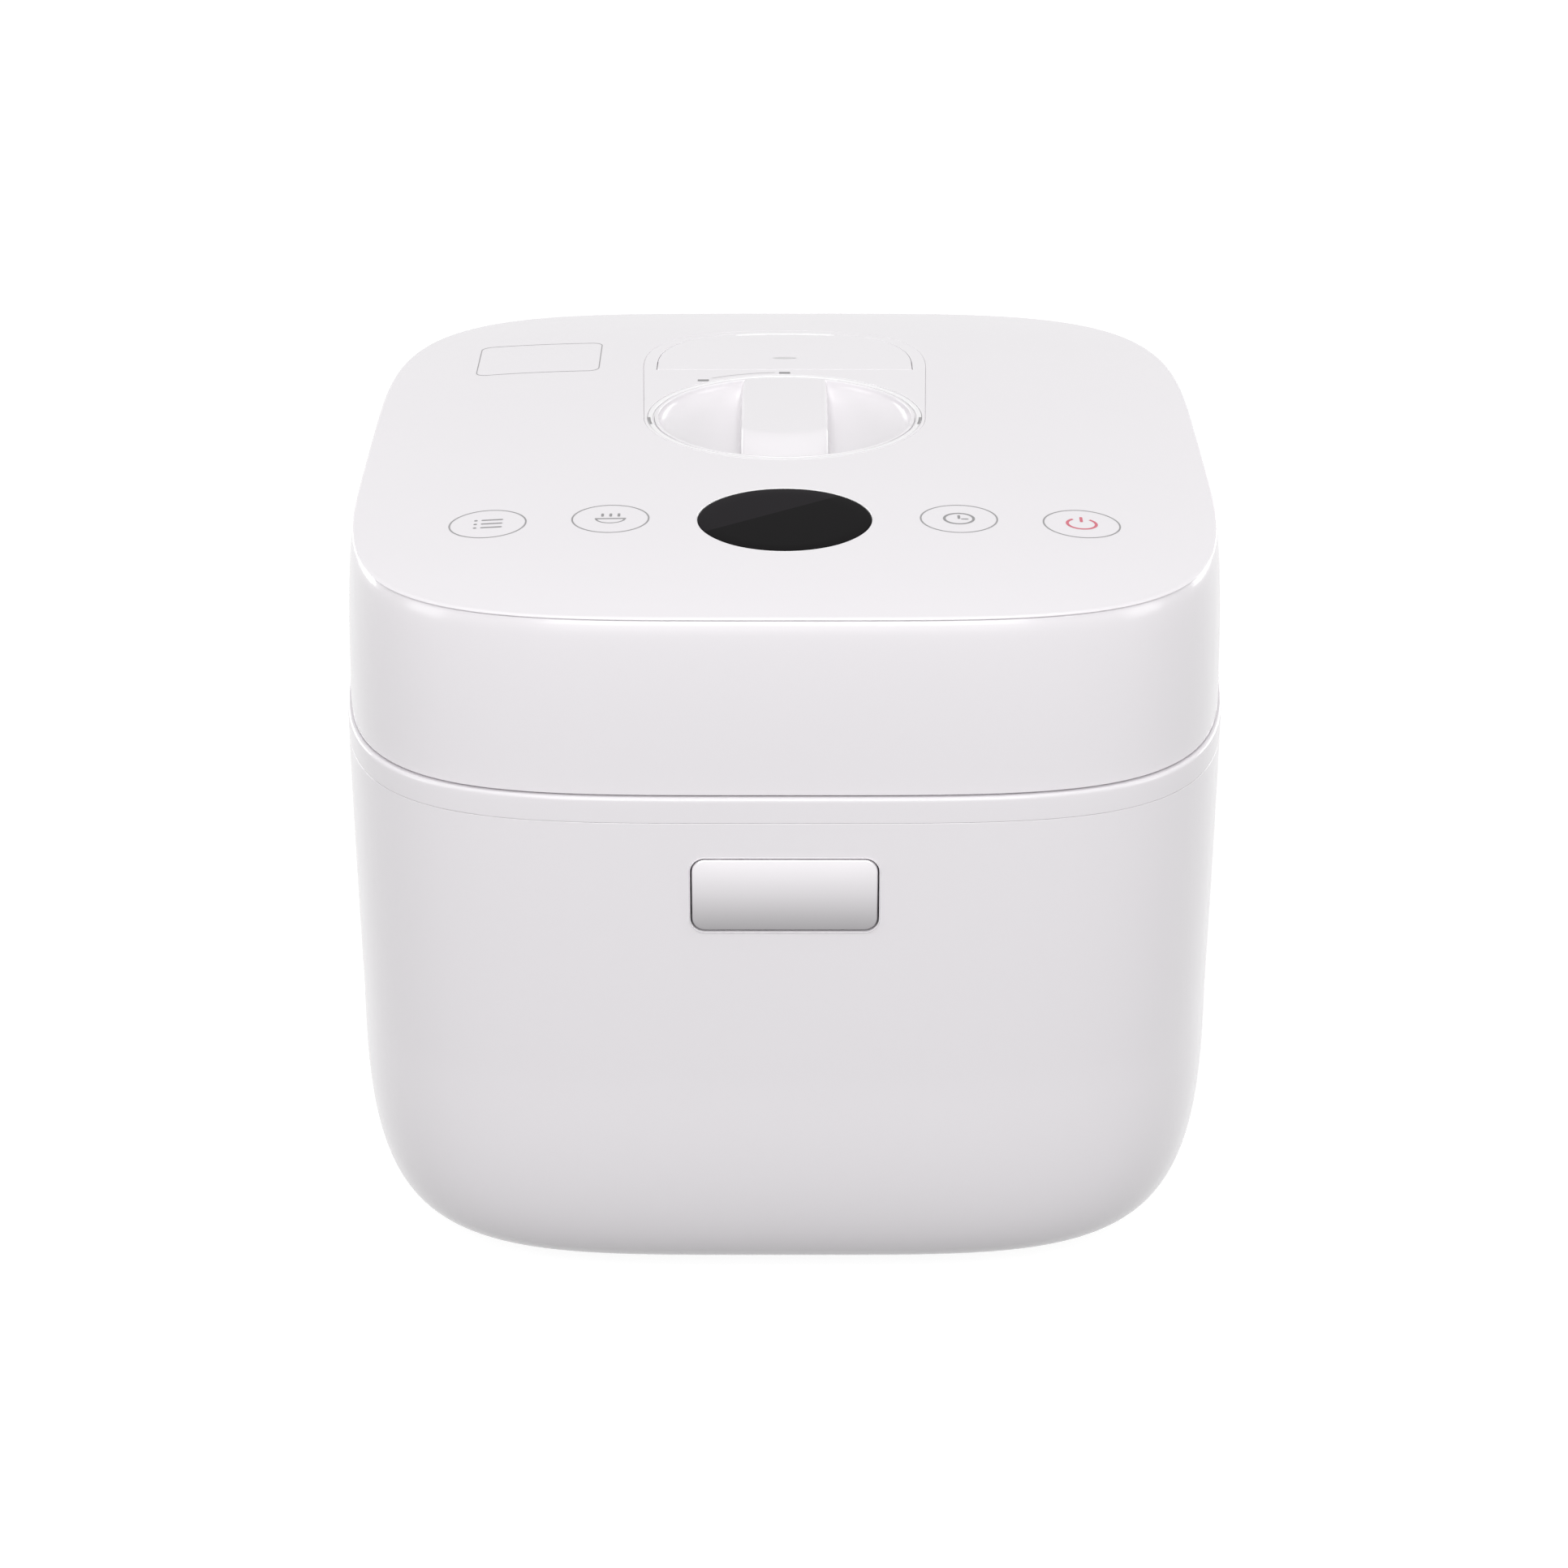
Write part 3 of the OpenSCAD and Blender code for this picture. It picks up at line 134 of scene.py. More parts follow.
def facing_front(p, y):
    """Points [x, height over the button's middle] in an upright plane at y."""
    return np.column_stack([p[:, 0], np.broadcast_to(y, len(p)), FACE_Z + p[:, 1]])


def shell_ring(inset, z):
    return at_height(squircle(HALF_W - inset, HALF_D - inset, ANGLES), z)


def crown_ring(k, dz=0.0):
    """Ring on the top panel's surface at a share of its outline."""
    return on_crown(squircle((HALF_W - EDGE_IN) * k, (HALF_D - EDGE_IN) * k, ANGLES), dz)


def arc(cx, cy, rx, ry, angles):
    """Points [x, y] on an elliptical arc."""
    return [(cx + rx * math.cos(a), cy + ry * math.sin(a)) for a in angles]


def round_rect(w, h, r, per=12):
    pts = []
    for cx, cy, a in ((w / 2 - r, h / 2 - r, 0), (-w / 2 + r, h / 2 - r, 90),
                      (-w / 2 + r, -h / 2 + r, 180), (w / 2 - r, -h / 2 + r, 270)):
        pts += arc(cx, cy, r, r, np.radians(np.linspace(a, a + 90, per)))
    return np.array(pts)


def circle_outline(cx, cy, r, n=160):
    t = full_turn(n)
    return lambda e: np.column_stack([cx + (r + e) * np.cos(t), cy + (r + e) * np.sin(t)])


def rear_arch(half_w, depth, first, last, n):
    b = np.radians(np.linspace(first, last, n))
    return np.column_stack([half_w * spow(np.cos(b), ARCH_P), ARCH_Y + depth * spow(np.sin(b), ARCH_P)])


def inlay_outline(e, n=91):
    """Outline of the inlay grown by e: a half circle round the knob and the rear arch."""
    a = np.radians(np.linspace(180, 360, n))
    front = np.column_stack([(44 + e) * np.cos(a), KNOB_Y + (44 + e) * np.sin(a)])
    return np.concatenate([front, rear_arch(45.7 + e, 46 + e, 0, 180, n)])


def cover_outline(e, n=90):
    """Outline of the steam cover grown by e: a straight front edge and the rear arch."""
    front = np.column_stack([np.linspace(-41.3 - e, 41.3 + e, 15), np.full(15, 66 - e)])
    return np.concatenate([front, rear_arch(41.3 + e, 42.6 + e, 3, 177, n)])


# ---------------------------------------------------------------- mesh tools
def to_frame(co):
    """From millimetres in the cooker's coordinates to metres in the frame's."""
    co = np.array(co, float).reshape(-1, 3)
    co[:, 1] += SHIFT_Y
    return co / 1000.0


def new_object(name, co, faces):
    mesh = bpy.data.meshes.new(name)
    mesh.from_pydata([tuple(c) for c in to_frame(co)], [], [tuple(int(i) for i in f) for f in faces])
    mesh.validate()
    obj = bpy.data.objects.new(name, mesh)
    bpy.context.scene.collection.objects.link(obj)
    return obj


def recalc(obj):
    """Merges points that coincide and turns all faces outward."""
    bm = bmesh.new()
    bm.from_mesh(obj.data)
    bmesh.ops.remove_doubles(bm, verts=bm.verts, dist=1e-7)
    bmesh.ops.recalc_face_normals(bm, faces=bm.faces)
    bm.to_mesh(obj.data)
    bm.free()
    return obj


def grid_faces(rows, n, closed_rows=False):
    """Faces between rows of n points, each row a closed ring."""
    f = []
    for j in range(rows if closed_rows else rows - 1):
        a, b = j * n, ((j + 1) % rows) * n
        f += [(a + i, a + (i + 1) % n, b + (i + 1) % n, b + i) for i in range(n)]
    return f


def rings_mesh(name, rings, closed=False, cap=False):
    """Mesh through rings of points that all have the same number of points."""
    n = len(rings[0])
    faces = grid_faces(len(rings), n, closed)
    if cap:
        faces.append(tuple(range(n - 1, -1, -1)))
        faces.append(tuple(range((len(rings) - 1) * n, len(rings) * n)))
    return recalc(new_object(name, np.concatenate(rings), faces))


def revolve(name, profile, centre=(0.0, 0.0), n=128, closed=True, cap=False):
    """Profile [radius, z] turned about Z. A closed profile is a ring; cap closes its first and last ring."""
    t = full_turn(n)
    rings = [at_height(np.column_stack([centre[0] + r * np.cos(t), centre[1] + r * np.sin(t)]), z)
             for r, z in profile]
    return rings_mesh(name, rings, closed, cap)


def box_tool(x0, x1, y0, y1, z0, z1):
    p = np.array([(x0, y0), (x1, y0), (x1, y1), (x0, y1)])
    return rings_mesh("tool", [at_height(p, z) for z in (z0, z1)], cap=True)


def boolean(obj, tool):
    """Cuts the tool out of the object and removes the tool."""
    m = obj.modifiers.new("cut", "BOOLEAN")
    m.operation, m.solver, m.object = "DIFFERENCE", "EXACT", tool
    deps = bpy.context.evaluated_depsgraph_get()
    mesh = bpy.data.meshes.new_from_object(obj.evaluated_get(deps))
    obj.modifiers.clear()
    old, obj.data = obj.data, mesh
    bpy.data.meshes.remove(old)
    bpy.data.objects.remove(tool)
    return obj


def join(objs):
    """One object from several, without operators."""
    bm = bmesh.new()
    for o in objs:
        bm.from_mesh(o.data)
    bm.to_mesh(objs[0].data)
    bm.free()
    for o in objs[1:]:
        bpy.data.objects.remove(o)
    return objs[0]


def dress(obj, body, material, replaces, angle, weighted=False):
    """Shades a finished piece, gives it its material, ties it to its body and hides the CAD nodes it stands
    for.
    """
    obj.data.shade_smooth()
    obj.data.set_sharp_from_angle(angle=math.radians(angle))
    if weighted:
        obj.modifiers.new("normals", "WEIGHTED_NORMAL").keep_sharp = True
    obj.data.materials.clear()
    obj.data.materials.append(material)
    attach(obj, body)
    if replaces:
        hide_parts(*replaces)


# ---------------------------------------------------------------- materials
def principled(name, color, rough, metallic=0.0, specular=0.5, coat=0.0, coat_rough=0.05,
               bump=None, grain=None, tint=None):
    """Procedural material. bump = [scale per metre, strength, detail], grain = spread of the roughness,
    tint = [scale per metre, how much the colour varies]."""
    mat = bpy.data.materials.new(name)
    mat.use_nodes = True
    nt = mat.node_tree
    bsdf = nt.nodes["Principled BSDF"]
    for key, value in (("Base Color", (*color, 1)), ("Roughness", rough), ("Metallic", metallic),
                       ("IOR", 1.5), ("Specular IOR Level", specular), ("Coat Weight", coat),
                       ("Coat Roughness", coat_rough)):
        bsdf.inputs[key].default_value = value
    coords = nt.nodes.new("ShaderNodeTexCoord")

    def noise(scale, detail):
        n = nt.nodes.new("ShaderNodeTexNoise")
        n.inputs["Scale"].default_value = scale
        n.inputs["Detail"].default_value = detail
        n.inputs["Roughness"].default_value = 0.5
        nt.links.new(coords.outputs["Object"], n.inputs["Vector"])
        return n.outputs["Fac"]

    if bump:
        b = nt.nodes.new("ShaderNodeBump")
        b.inputs["Strength"].default_value = bump[1]
        b.inputs["Distance"].default_value = 0.0002
        nt.links.new(noise(bump[0], bump[2]), b.inputs["Height"])
        nt.links.new(b.outputs["Normal"], bsdf.inputs["Normal"])
    if grain:
        ramp = nt.nodes.new("ShaderNodeMapRange")
        ramp.inputs["To Min"].default_value = max(0.0, rough - grain)
        ramp.inputs["To Max"].default_value = rough + grain
        nt.links.new(noise(60.0, 4.0), ramp.inputs["Value"])
        nt.links.new(ramp.outputs["Result"], bsdf.inputs["Roughness"])
    if tint:
        mix = nt.nodes.new("ShaderNodeMix")
        mix.data_type = "RGBA"
        mix.inputs[6].default_value = (*[c * (1 - tint[1]) for c in color], 1)
        mix.inputs[7].default_value = (*[min(1.0, c * (1 + tint[1])) for c in color], 1)
        nt.links.new(noise(tint[0], 3.0), mix.inputs[0])
        nt.links.new(mix.outputs[2], bsdf.inputs["Base Color"])
    return mat


def ink(name, color):
    return principled(name, color, 0.5, bump=(4000, 0.05, 2), tint=(300, 0.05))


WHITE = principled("white_shell", (0.806, 0.781, 0.807), 0.23, coat=0.18, coat_rough=0.12,
                   bump=(900, 0.02, 2), grain=0.02, tint=(14, 0.006))
KNOB_WHITE = principled("white_knob", (0.802, 0.780, 0.803), 0.23, coat=0.15,
                        bump=(1400, 0.02, 2), grain=0.02, tint=(20, 0.006))
# Lighter white for the knob's ring, the cover's lip and the display's rim: painted highlight on edges that
# catch the light, over their real gloss.
HIGHLIGHT_WHITE = principled("white_painted_highlight", (0.86, 0.85, 0.862), 0.2, coat=0.3,
                        bump=(1400, 0.02, 2), grain=0.02, tint=(20, 0.006))
INLAY_WHITE = principled("white_inlay", (0.812, 0.788, 0.813), 0.22, coat=0.2,
                         bump=(1200, 0.02, 2), grain=0.02, tint=(20, 0.006))
INNER_WHITE = principled("look_inner_white", (0.70, 0.69, 0.68), 0.45,
                         bump=(2500, 0.12, 3), grain=0.05, tint=(30, 0.02))
BASE_GREY = principled("look_base_grey", (0.66, 0.66, 0.67), 0.5,
                       bump=(2500, 0.25, 3), grain=0.05, tint=(30, 0.02))
BLACK = principled("look_black_plastic", (0.025, 0.025, 0.027), 0.5,
                   bump=(3000, 0.3, 3), grain=0.08, tint=(50, 0.1))
RUBBER = principled("look_foot_rubber", (0.16, 0.16, 0.165), 0.75,
                    bump=(2200, 0.4, 3), grain=0.08, tint=(60, 0.12))
SILICONE = principled("look_silicone", (0.72, 0.72, 0.70), 0.55,
                      bump=(1500, 0.15, 2), grain=0.06, tint=(40, 0.03))
COATING = principled("look_pot_coating", (0.055, 0.055, 0.058), 0.38, specular=0.6,
                     bump=(5000, 0.35, 4), grain=0.1, tint=(900, 0.25))
ALUMINIUM = principled("look_aluminium", (0.78, 0.78, 0.79), 0.3, metallic=1.0,
                       bump=(2600, 0.08, 4), grain=0.06, tint=(40, 0.03))
STEEL = principled("look_steel", (0.66, 0.66, 0.67), 0.28, metallic=1.0,
                   bump=(1800, 0.08, 3), grain=0.07, tint=(50, 0.04))
SPRING = principled("look_spring_steel", (0.42, 0.42, 0.43), 0.32, metallic=1.0,
                    bump=(4000, 0.1, 3), grain=0.08, tint=(80, 0.08))
COPPER = principled("look_copper", (0.52, 0.24, 0.11), 0.35, metallic=0.85, coat=0.4,
                    bump=(3000, 0.2, 3), grain=0.08, tint=(90, 0.12))
FERRITE = principled("look_ferrite", (0.075, 0.072, 0.075), 0.7,
                     bump=(3000, 0.5, 4), grain=0.08, tint=(120, 0.2))
BOARD = principled("look_circuit_board", (0.02, 0.16, 0.07), 0.35, coat=0.3,
                   bump=(600, 0.1, 4), grain=0.06, tint=(250, 0.15))
PARTS = principled("look_parts", (0.12, 0.12, 0.13), 0.45, bump=(1200, 0.2, 3), grain=0.1, tint=(120, 0.4))
# Grey ink for the pictograms; the same grey is the painted shade in the gaps at the ends of the knob's ring.
INK_AND_PAINTED_SHADE = ink("ink_grey_and_painted_shade", (0.27, 0.265, 0.27))
INK_PALE = ink("ink_pale", (0.43, 0.425, 0.43))
INK_RING = ink("ink_ring", (0.30, 0.295, 0.30))
INK_DARK = ink("ink_dark", (0.25, 0.245, 0.25))
INK_RED = ink("ink_red", (0.62, 0.13, 0.18))
INK_FAINT = ink("ink_faint", (0.66, 0.655, 0.66))

# ---------------------------------------------------------------- camera, lamps, stage
PITCH, LENS, REACH = math.radians(22.72), 99.96, 1.3923  # solved from the photo's edges
AMBIENT, FLOOR_GREY, FLOOR_GLOW, FLOOR_HALF = 0.38, 0.25, 0.9, 2500

scene = bpy.context.scene
scene.view_settings.view_transform = "Standard"
cam = bpy.data.objects.new("camera", bpy.data.cameras.new("camera"))
cam.data.lens, cam.data.sensor_width, cam.data.sensor_fit = LENS, 36.0, "HORIZONTAL"
target = np.array([-0.0002, SHIFT_Y / 1000, 0.1037])
cam.location = target + REACH * np.array([0, -math.cos(PITCH), math.sin(PITCH)])
cam.rotation_euler = (math.pi / 2 - PITCH, 0, 0)
scene.collection.objects.link(cam)
scene.camera = cam


def seen_by_eye(tree):
    """1 for camera, glossy and transmission rays, so that the background is white in metal and glass too."""
    path = tree.nodes.new("ShaderNodeLightPath")
    total = path.outputs["Is Camera Ray"]
    for ray in ("Is Transmission Ray", "Is Glossy Ray"):
        add = tree.nodes.new("ShaderNodeMath")
        add.operation, add.use_clamp = "ADD", True
        tree.links.new(total, add.inputs[0])
        tree.links.new(path.outputs[ray], add.inputs[1])
        total = add.outputs[0]
    return total


def white_world():
    """White where the eye sees it, and AMBIENT as a light on the part."""
    world = bpy.data.worlds.new("studio")
    world.use_nodes = True
    nt = world.node_tree
    background = nt.nodes["Background"]
    strength = nt.nodes.new("ShaderNodeMapRange")
    strength.inputs["To Min"].default_value = AMBIENT
    strength.inputs["To Max"].default_value = 1.0
    nt.links.new(seen_by_eye(nt), strength.inputs["Value"])
    nt.links.new(strength.outputs["Result"], background.inputs["Strength"])
    background.inputs["Color"].default_value = (1, 1, 1, 1)
    return world


def floor_look():
    """Grey that takes the part's shadow, lifted to white where the eye sees it."""
    mat = bpy.data.materials.new("floor")
    mat.use_nodes = True
    nt = mat.node_tree
    nt.nodes.clear()
    out = nt.nodes.new("ShaderNodeOutputMaterial")
    diffuse = nt.nodes.new("ShaderNodeBsdfDiffuse")
    diffuse.inputs["Color"].default_value = (FLOOR_GREY, FLOOR_GREY, FLOOR_GREY, 1)
    glow = nt.nodes.new("ShaderNodeEmission")
    lift = nt.nodes.new("ShaderNodeMath")
    lift.operation = "MULTIPLY"
    lift.inputs[1].default_value = FLOOR_GLOW
    both = nt.nodes.new("ShaderNodeAddShader")
    nt.links.new(seen_by_eye(nt), lift.inputs[0])
    nt.links.new(lift.outputs[0], glow.inputs["Strength"])
    nt.links.new(diffuse.outputs[0], both.inputs[0])
    nt.links.new(glow.outputs[0], both.inputs[1])
    nt.links.new(both.outputs[0], out.inputs["Surface"])
    return mat


def area(name, place, size, power):
    """Rectangular lamp that aims at the middle of the part, in metres and watts."""
    lamp = bpy.data.lights.new(name, "AREA")
    lamp.shape, lamp.size, lamp.size_y, lamp.energy = "RECTANGLE", *size, power
    obj = bpy.data.objects.new(name, lamp)
    obj.location = place
    obj.rotation_euler = (Vector((0, -0.01, 0.12)) - Vector(place)).to_track_quat("-Z", "Y").to_euler()
    scene.collection.objects.link(obj)


scene.world = white_world()
area("key", (0, -1.9, 1.45), (1.5, 1.1), 24.0)
area("front", (0, -2.1, 0.65), (1.6, 1.0), 7.0)
area("top", (0, 0.1, 2.1), (1.3, 1.3), 11.0)
for side in (-1, 1):
    area("side", (1.85 * side, -0.6, 0.6), (0.9, 0.9), 6.5)
    area("rear", (1.5 * side, 1.5, 0.35), (1.2, 0.6), 10)
corners = [(sx * FLOOR_HALF, sy * FLOOR_HALF, 0) for sx, sy in ((-1, -1), (1, -1), (1, 1), (-1, 1))]
floor = new_object("floor", corners, [(0, 1, 2, 3)])
floor.data.materials.append(floor_look())

# ---------------------------------------------------------------- body
outer = [shell_ring(body_inset(BODY_TOP) + 0.06, BODY_TOP), shell_ring(body_inset(BODY_TOP), BODY_TOP - 0.1)]
outer += [shell_ring(body_inset(z), z) for z in np.linspace(150, KNEE_Z + 4, 14)]
outer += [shell_ring(i, z) for i, z in body_round()]
inner = [shell_ring(BASE_LIP, SHELL_Z), shell_ring(BASE_LIP, BASE_LIP_Z),
         shell_ring(BASE_LIP + BASE_STEP, BASE_LIP_Z), shell_ring(BASE_LIP + BASE_STEP, FLOOR_IN_Z)]
inner += [shell_ring(i + WALL, FLOOR_IN_Z + (z - SHELL_Z) * (KNEE_Z - FLOOR_IN_Z) / (KNEE_Z - SHELL_Z))
          for i, z in body_round()[::-3]]
inner += [shell_ring(body_inset(BODY_TOP) + WALL, BODY_TOP)]
body = rings_mesh("body_shell", outer + inner, closed=True)
button_hole = round_rect(FRAME_W + FRAME_FIT, FRAME_H + FRAME_FIT, FRAME_R + FRAME_FIT / 2, 14)
boolean(body, rings_mesh("tool", [facing_front(button_hole, y) for y in (-160, -140)], cap=True))
boolean(body, box_tool(INLET_X - INLET_HALF_W, INLET_X + INLET_HALF_W, 140, 160,
                       INLET_Z - INLET_HALF_H, INLET_Z + INLET_HALF_H))
dress(body, "base", WHITE, ["outer_shell"], 30, True)

# Collar: upright band with a rounded upper edge, the deck and the pot's mouth and seat. The rings keep the
# angles of the outline's points, so that they run smoothly from the outline to the round mouth.
widest = squircle(HALF_W, HALF_D, ANGLES)
MOUTH_ANGLES = np.arctan2(widest[:, 1], widest[:, 0])


def mouth_ring(r, z):
    return at_height(np.column_stack([r * np.cos(MOUTH_ANGLES), r * np.sin(MOUTH_ANGLES)]), z)


band = [shell_ring(i, z) for i, z in (
    (body_inset(COLLAR_Z) + 0.05, COLLAR_Z), (body_inset(COLLAR_Z), 155.12), (0.0, 158.5), (-0.03, 161.0),
    (0.0, 161.65), (0.08, 162.02), (0.26, 162.31), (0.54, 162.52), (0.9, DECK_Z), (2.0, DECK_Z))]
band += [mouth_ring(r, z) for r, z in (
    (MOUTH_R + 0.6, DECK_Z), (MOUTH_R + 0.2, DECK_Z - 0.15), (MOUTH_R, DECK_Z - 0.5), (MOUTH_R, SEAT_Z),
    (SEAT_R, SEAT_Z), (SEAT_R, COLLAR_Z), (DECK_R, COLLAR_Z), (DECK_R, DECK_Z - DECK_T))]
band += [shell_ring(3.5, DECK_Z - DECK_T), shell_ring(3.2, COLLAR_Z)]
collar = rings_mesh("collar_band", band, closed=True)
for x in (-LATCH_X, LATCH_X):
    boolean(collar, box_tool(x - 4, x + 4, LATCH_Y - 8, LATCH_Y + 6, COLLAR_Z, 175))
dress(collar, "base", WHITE, ["collar_ring"], 30, True)

# ---------------------------------------------------------------- lid wall
wall = [shell_ring(i, z) for i, z in (
    (1.6, 163.05), (1.32, 163.1), (1.16, 163.26), (1.1, 163.5), (1.1, 165.0))]
wall += [shell_ring(lid_inset(h), SEAM_Z + h) for h in np.linspace(5, 44, 20)]
wall += [shell_ring(i, z) for i, z in (
    (2.45, 209), (2.62, 210.6), (2.84, 212.0), (3.12, 213.2), (3.46, 214.15), (3.8, 214.68), (4.2, 214.86),
    (5.6, 213.15), (11, 213.15), (11, 211.4), (5.5, 209.6))]
wall += [shell_ring(3 * (h / LID_H) ** 1.6 + WALL, SEAM_Z + h) for h in (42, 34, 24, 14, 5)]
wall += [shell_ring(WALL, 163.05)]
lid_wall = rings_mesh("lid_wall", wall, closed=True)
boolean(lid_wall, box_tool(-28, 28, 145.5, 157.5, 162.4, 171.8))
dress(lid_wall, "lid", WHITE, ["lid_shell"], 30, True)


# ---------------------------------------------------------------- top panel, inlay, steam cover
def inside(p, loops):
    """Whether points lie inside closed outlines, by the even-odd rule."""
    hit = np.zeros(len(p), bool)
    x, y = p[:, 0], p[:, 1]
    for loop in loops:
        for (x0, y0), (x1, y1) in zip(loop, np.roll(loop, -1, 0)):
            if y0 != y1:
                hit ^= ((y0 > y) != (y1 > y)) & (x < (x1 - x0) * (y - y0) / (y1 - y0) + x0)
    return hit


def sheet(loops, spacing=None):
    """Points and triangles that fill closed outlines; an outline inside another is a hole. With a spacing,
    the inside gets points of its own."""
    edge_points = np.concatenate(loops)
    links, at = [], 0
    for loop in loops:
        links += [(at + i, at + (i + 1) % len(loop)) for i in range(len(loop))]
        at += len(loop)
    points = edge_points
    if spacing:
        lo, hi = edge_points.min(0), edge_points.max(0)
        rows = np.arange(lo[1] + spacing / 2, hi[1], spacing * 0.866)
        grid = np.array([(x + (j % 2) * spacing / 2, y) for j, y in enumerate(rows)
                         for x in np.arange(lo[0], hi[0], spacing)])
        grid = grid[inside(grid, loops)]
        near = np.array([np.min(np.hypot(*(edge_points - g).T)) for g in grid])
        points = np.concatenate([edge_points, grid[near > 0.55 * spacing]])
    v, _, f, *_ = delaunay_2d_cdt([Vector((float(x), float(y))) for x, y in points], links, [], 0, 1e-6)
    v, f = np.array([tuple(q) for q in v]), np.array([tuple(t) for t in f])
    return v, f[inside(v[f].mean(1), loops)]


def crown_plate(name, outlines, edge, under, spacing, rim=()):
    """Plate that follows the top panel's surface, with its edges rounded by edge. The first outline is its
    outside and the others are holes; each is a function of its growth. rim, if given, is the outside's rings
    from the sheet's edge down, in place of the first outline."""
    rounds = [(1 - math.sin(r), math.cos(r) - 1) for r in np.radians([0, 18, 36, 54, 72, 90])]
    meshes, upper, lower = [], [], []
    for i, outline in enumerate(outlines):
        grow = edge if i else -edge
        rings = list(rim) if i == 0 else []
        if not rings:
            rings = [on_crown(outline(k * grow), drop * edge) for k, drop in rounds]
            rings.append(on_crown(outline(0), -under))
        meshes.append(new_object("edge", np.concatenate(rings), grid_faces(len(rings), len(rings[0]))))
        upper.append(rings[0][:, :2])
        lower.append(rings[-1][:, :2])
    for part, loops, step, dz in (("upper", upper, spacing, 0.0), ("lower", lower, 3 * spacing, -under)):
        p, f = sheet(loops, step)
        meshes.append(new_object(part, on_crown(p, dz), f))
    obj = recalc(join(meshes))
    obj.name = name
    return obj


rim = [crown_ring(k) for k in (0.93, 0.945, 0.96, 0.972, 0.982, 0.99)]
rim += [shell_ring(EDGE_IN + inset, z) for inset, z in (
    (0.8, 215.86), (0.35, 215.7), (0.12, 215.52), (0.0, 215.3), (0.0, 215.15), (0.2, 215.0))]
rim += [crown_ring(0.96, -PANEL_T)]
display_hole = circle_outline(0, DISPLAY_Y, DISPLAY_HOLE)
panel = crown_plate("panel", [None, lambda e: inlay_outline(INLAY_GAP + e), display_hole],
                    0.25, PANEL_T, 4.0, rim)
dress(panel, "lid", WHITE, ["top_panel"], 30, True)
knob_hole = circle_outline(0, KNOB_Y, HOLE_R)
inlay = crown_plate("inlay_plate", [inlay_outline, knob_hole, lambda e: cover_outline(COVER_GAP + e)],
                    0.22, PANEL_T, 2.6)
dress(inlay, "lid", INLAY_WHITE, ["inlay_frame"], 30, True)


def cover_edge(e):
    """Outline of the steam cover's plate, with a slit at each front corner and a slot along its rear edge."""
    p = cover_outline(e)
    corner = np.clip((3.4 - np.abs(p[:, 1] - 71.0)) / 0.8, 0, 1)
    rear = np.clip((18.0 - np.abs(p[:, 0])) / 1.2, 0, 1) * (p[:, 1] > 100)
    return p - np.column_stack([np.sign(p[:, 0]) * 0.2 * corner, 0.3 * rear])


cover = crown_plate("steam_cover_plate", [cover_edge], 0.3, PANEL_T, 2.6)
skirt = rings_mesh("skirt", [on_crown(cover_outline(e), dz) for e, dz in (
    (-2, -2.0), (-2, -7.5), (-3.6, -7.5), (-3.6, -2.0))], closed=True)
for x in range(-16, 17, 8):
    boolean(skirt, box_tool(x - 2, x + 2, 102, 116, 212.5, 215.8))
dress(join([cover, skirt]), "steam_cover", INLAY_WHITE, ["steam_cover"], 30, True)

# Raised finger lip along the cover's rear edge: half rounds across a track that shrink towards its ends
LIP_HALF, LIP_W, LIP_H, LIP_SUNK = 17, 0.95, 0.42, 0.05
track = cover_outline(-1.5, 360)
track = track[(np.abs(track[:, 0]) < LIP_HALF) & (track[:, 1] > 100)]
away = np.gradient(track, axis=0)[:, ::-1] * np.array([1, -1])
away /= np.linalg.norm(away, axis=1)[:, None]
ends = np.clip((LIP_HALF - np.abs(track[:, 0])) / 2.5, 0.05, 1)[:, None]
rows = []
for a in np.linspace(-math.pi / 2, math.pi / 2, 9):
    row = on_crown(track + away * LIP_W * math.sin(a) * ends, -LIP_SUNK)
    row[:, 2] += LIP_H * math.cos(a) * ends[:, 0]
    rows.append(row)
n, last = len(track), len(rows) - 1
lip_faces = [(j * n + i, j * n + i + 1, (j + 1) * n + i + 1, (j + 1) * n + i)
             for j in range(last) for i in range(n - 1)]
lip_faces.append(tuple(range(n)) + tuple(range((last + 1) * n - 1, last * n - 1, -1)))
lip_faces += [tuple(j * n for j in range(last + 1)), tuple(j * n + n - 1 for j in range(last, -1, -1))]
cover_lip = recalc(new_object("cover_lip", np.concatenate(rows), lip_faces))
# The lip's lighter white is a painted highlight along the cover's rear edge.
dress(cover_lip, "steam_cover", HIGHLIGHT_WHITE, (), 50)

# Ring that the knob turns in, with its floor, guide tube and four posts
housing = revolve("knob_housing_ring", [
    (6.1, 182.1), (9, 182.1), (9, 201.1), (42.9, 201.1), (42.9, 221.2), (42.82, 221.42), (42.6, 221.54),
    (42.3, RING_TOP), (41.7, RING_TOP), (41.45, 221.52), (41.25, 221.35), (41.15, 221.1), (41.15, 220.9),
    (40.8, 220.8), (40.8, 220.2), (41.1, 220.0), (41.1, 204.1), (6.1, 204.1)], (0, KNOB_Y), 192)
post_angles = [math.radians(45 + 90 * i) for i in range(4)]
posts = [revolve("post", [(4, 168.2), (4, 201.2)], centre, 32, cap=True)
         for centre in arc(0, KNOB_Y, 30.9, 30.9, post_angles)]
# The ring's lighter white is a painted highlight.
dress(join([housing] + posts), "lid", HIGHLIGHT_WHITE, ["knob_housing"], 35, True)

# ---------------------------------------------------------------- knob
RIM_R, DEPTH = 39.6, 11.0  # radius inside the rim, depth of the bowl
BAR_X, BAR_ROUND, BAR_FOOT, FOOT_R = 12.2, 1.3, 13.55, 2.4  # bar: flat half width, edge, foot and its fillet


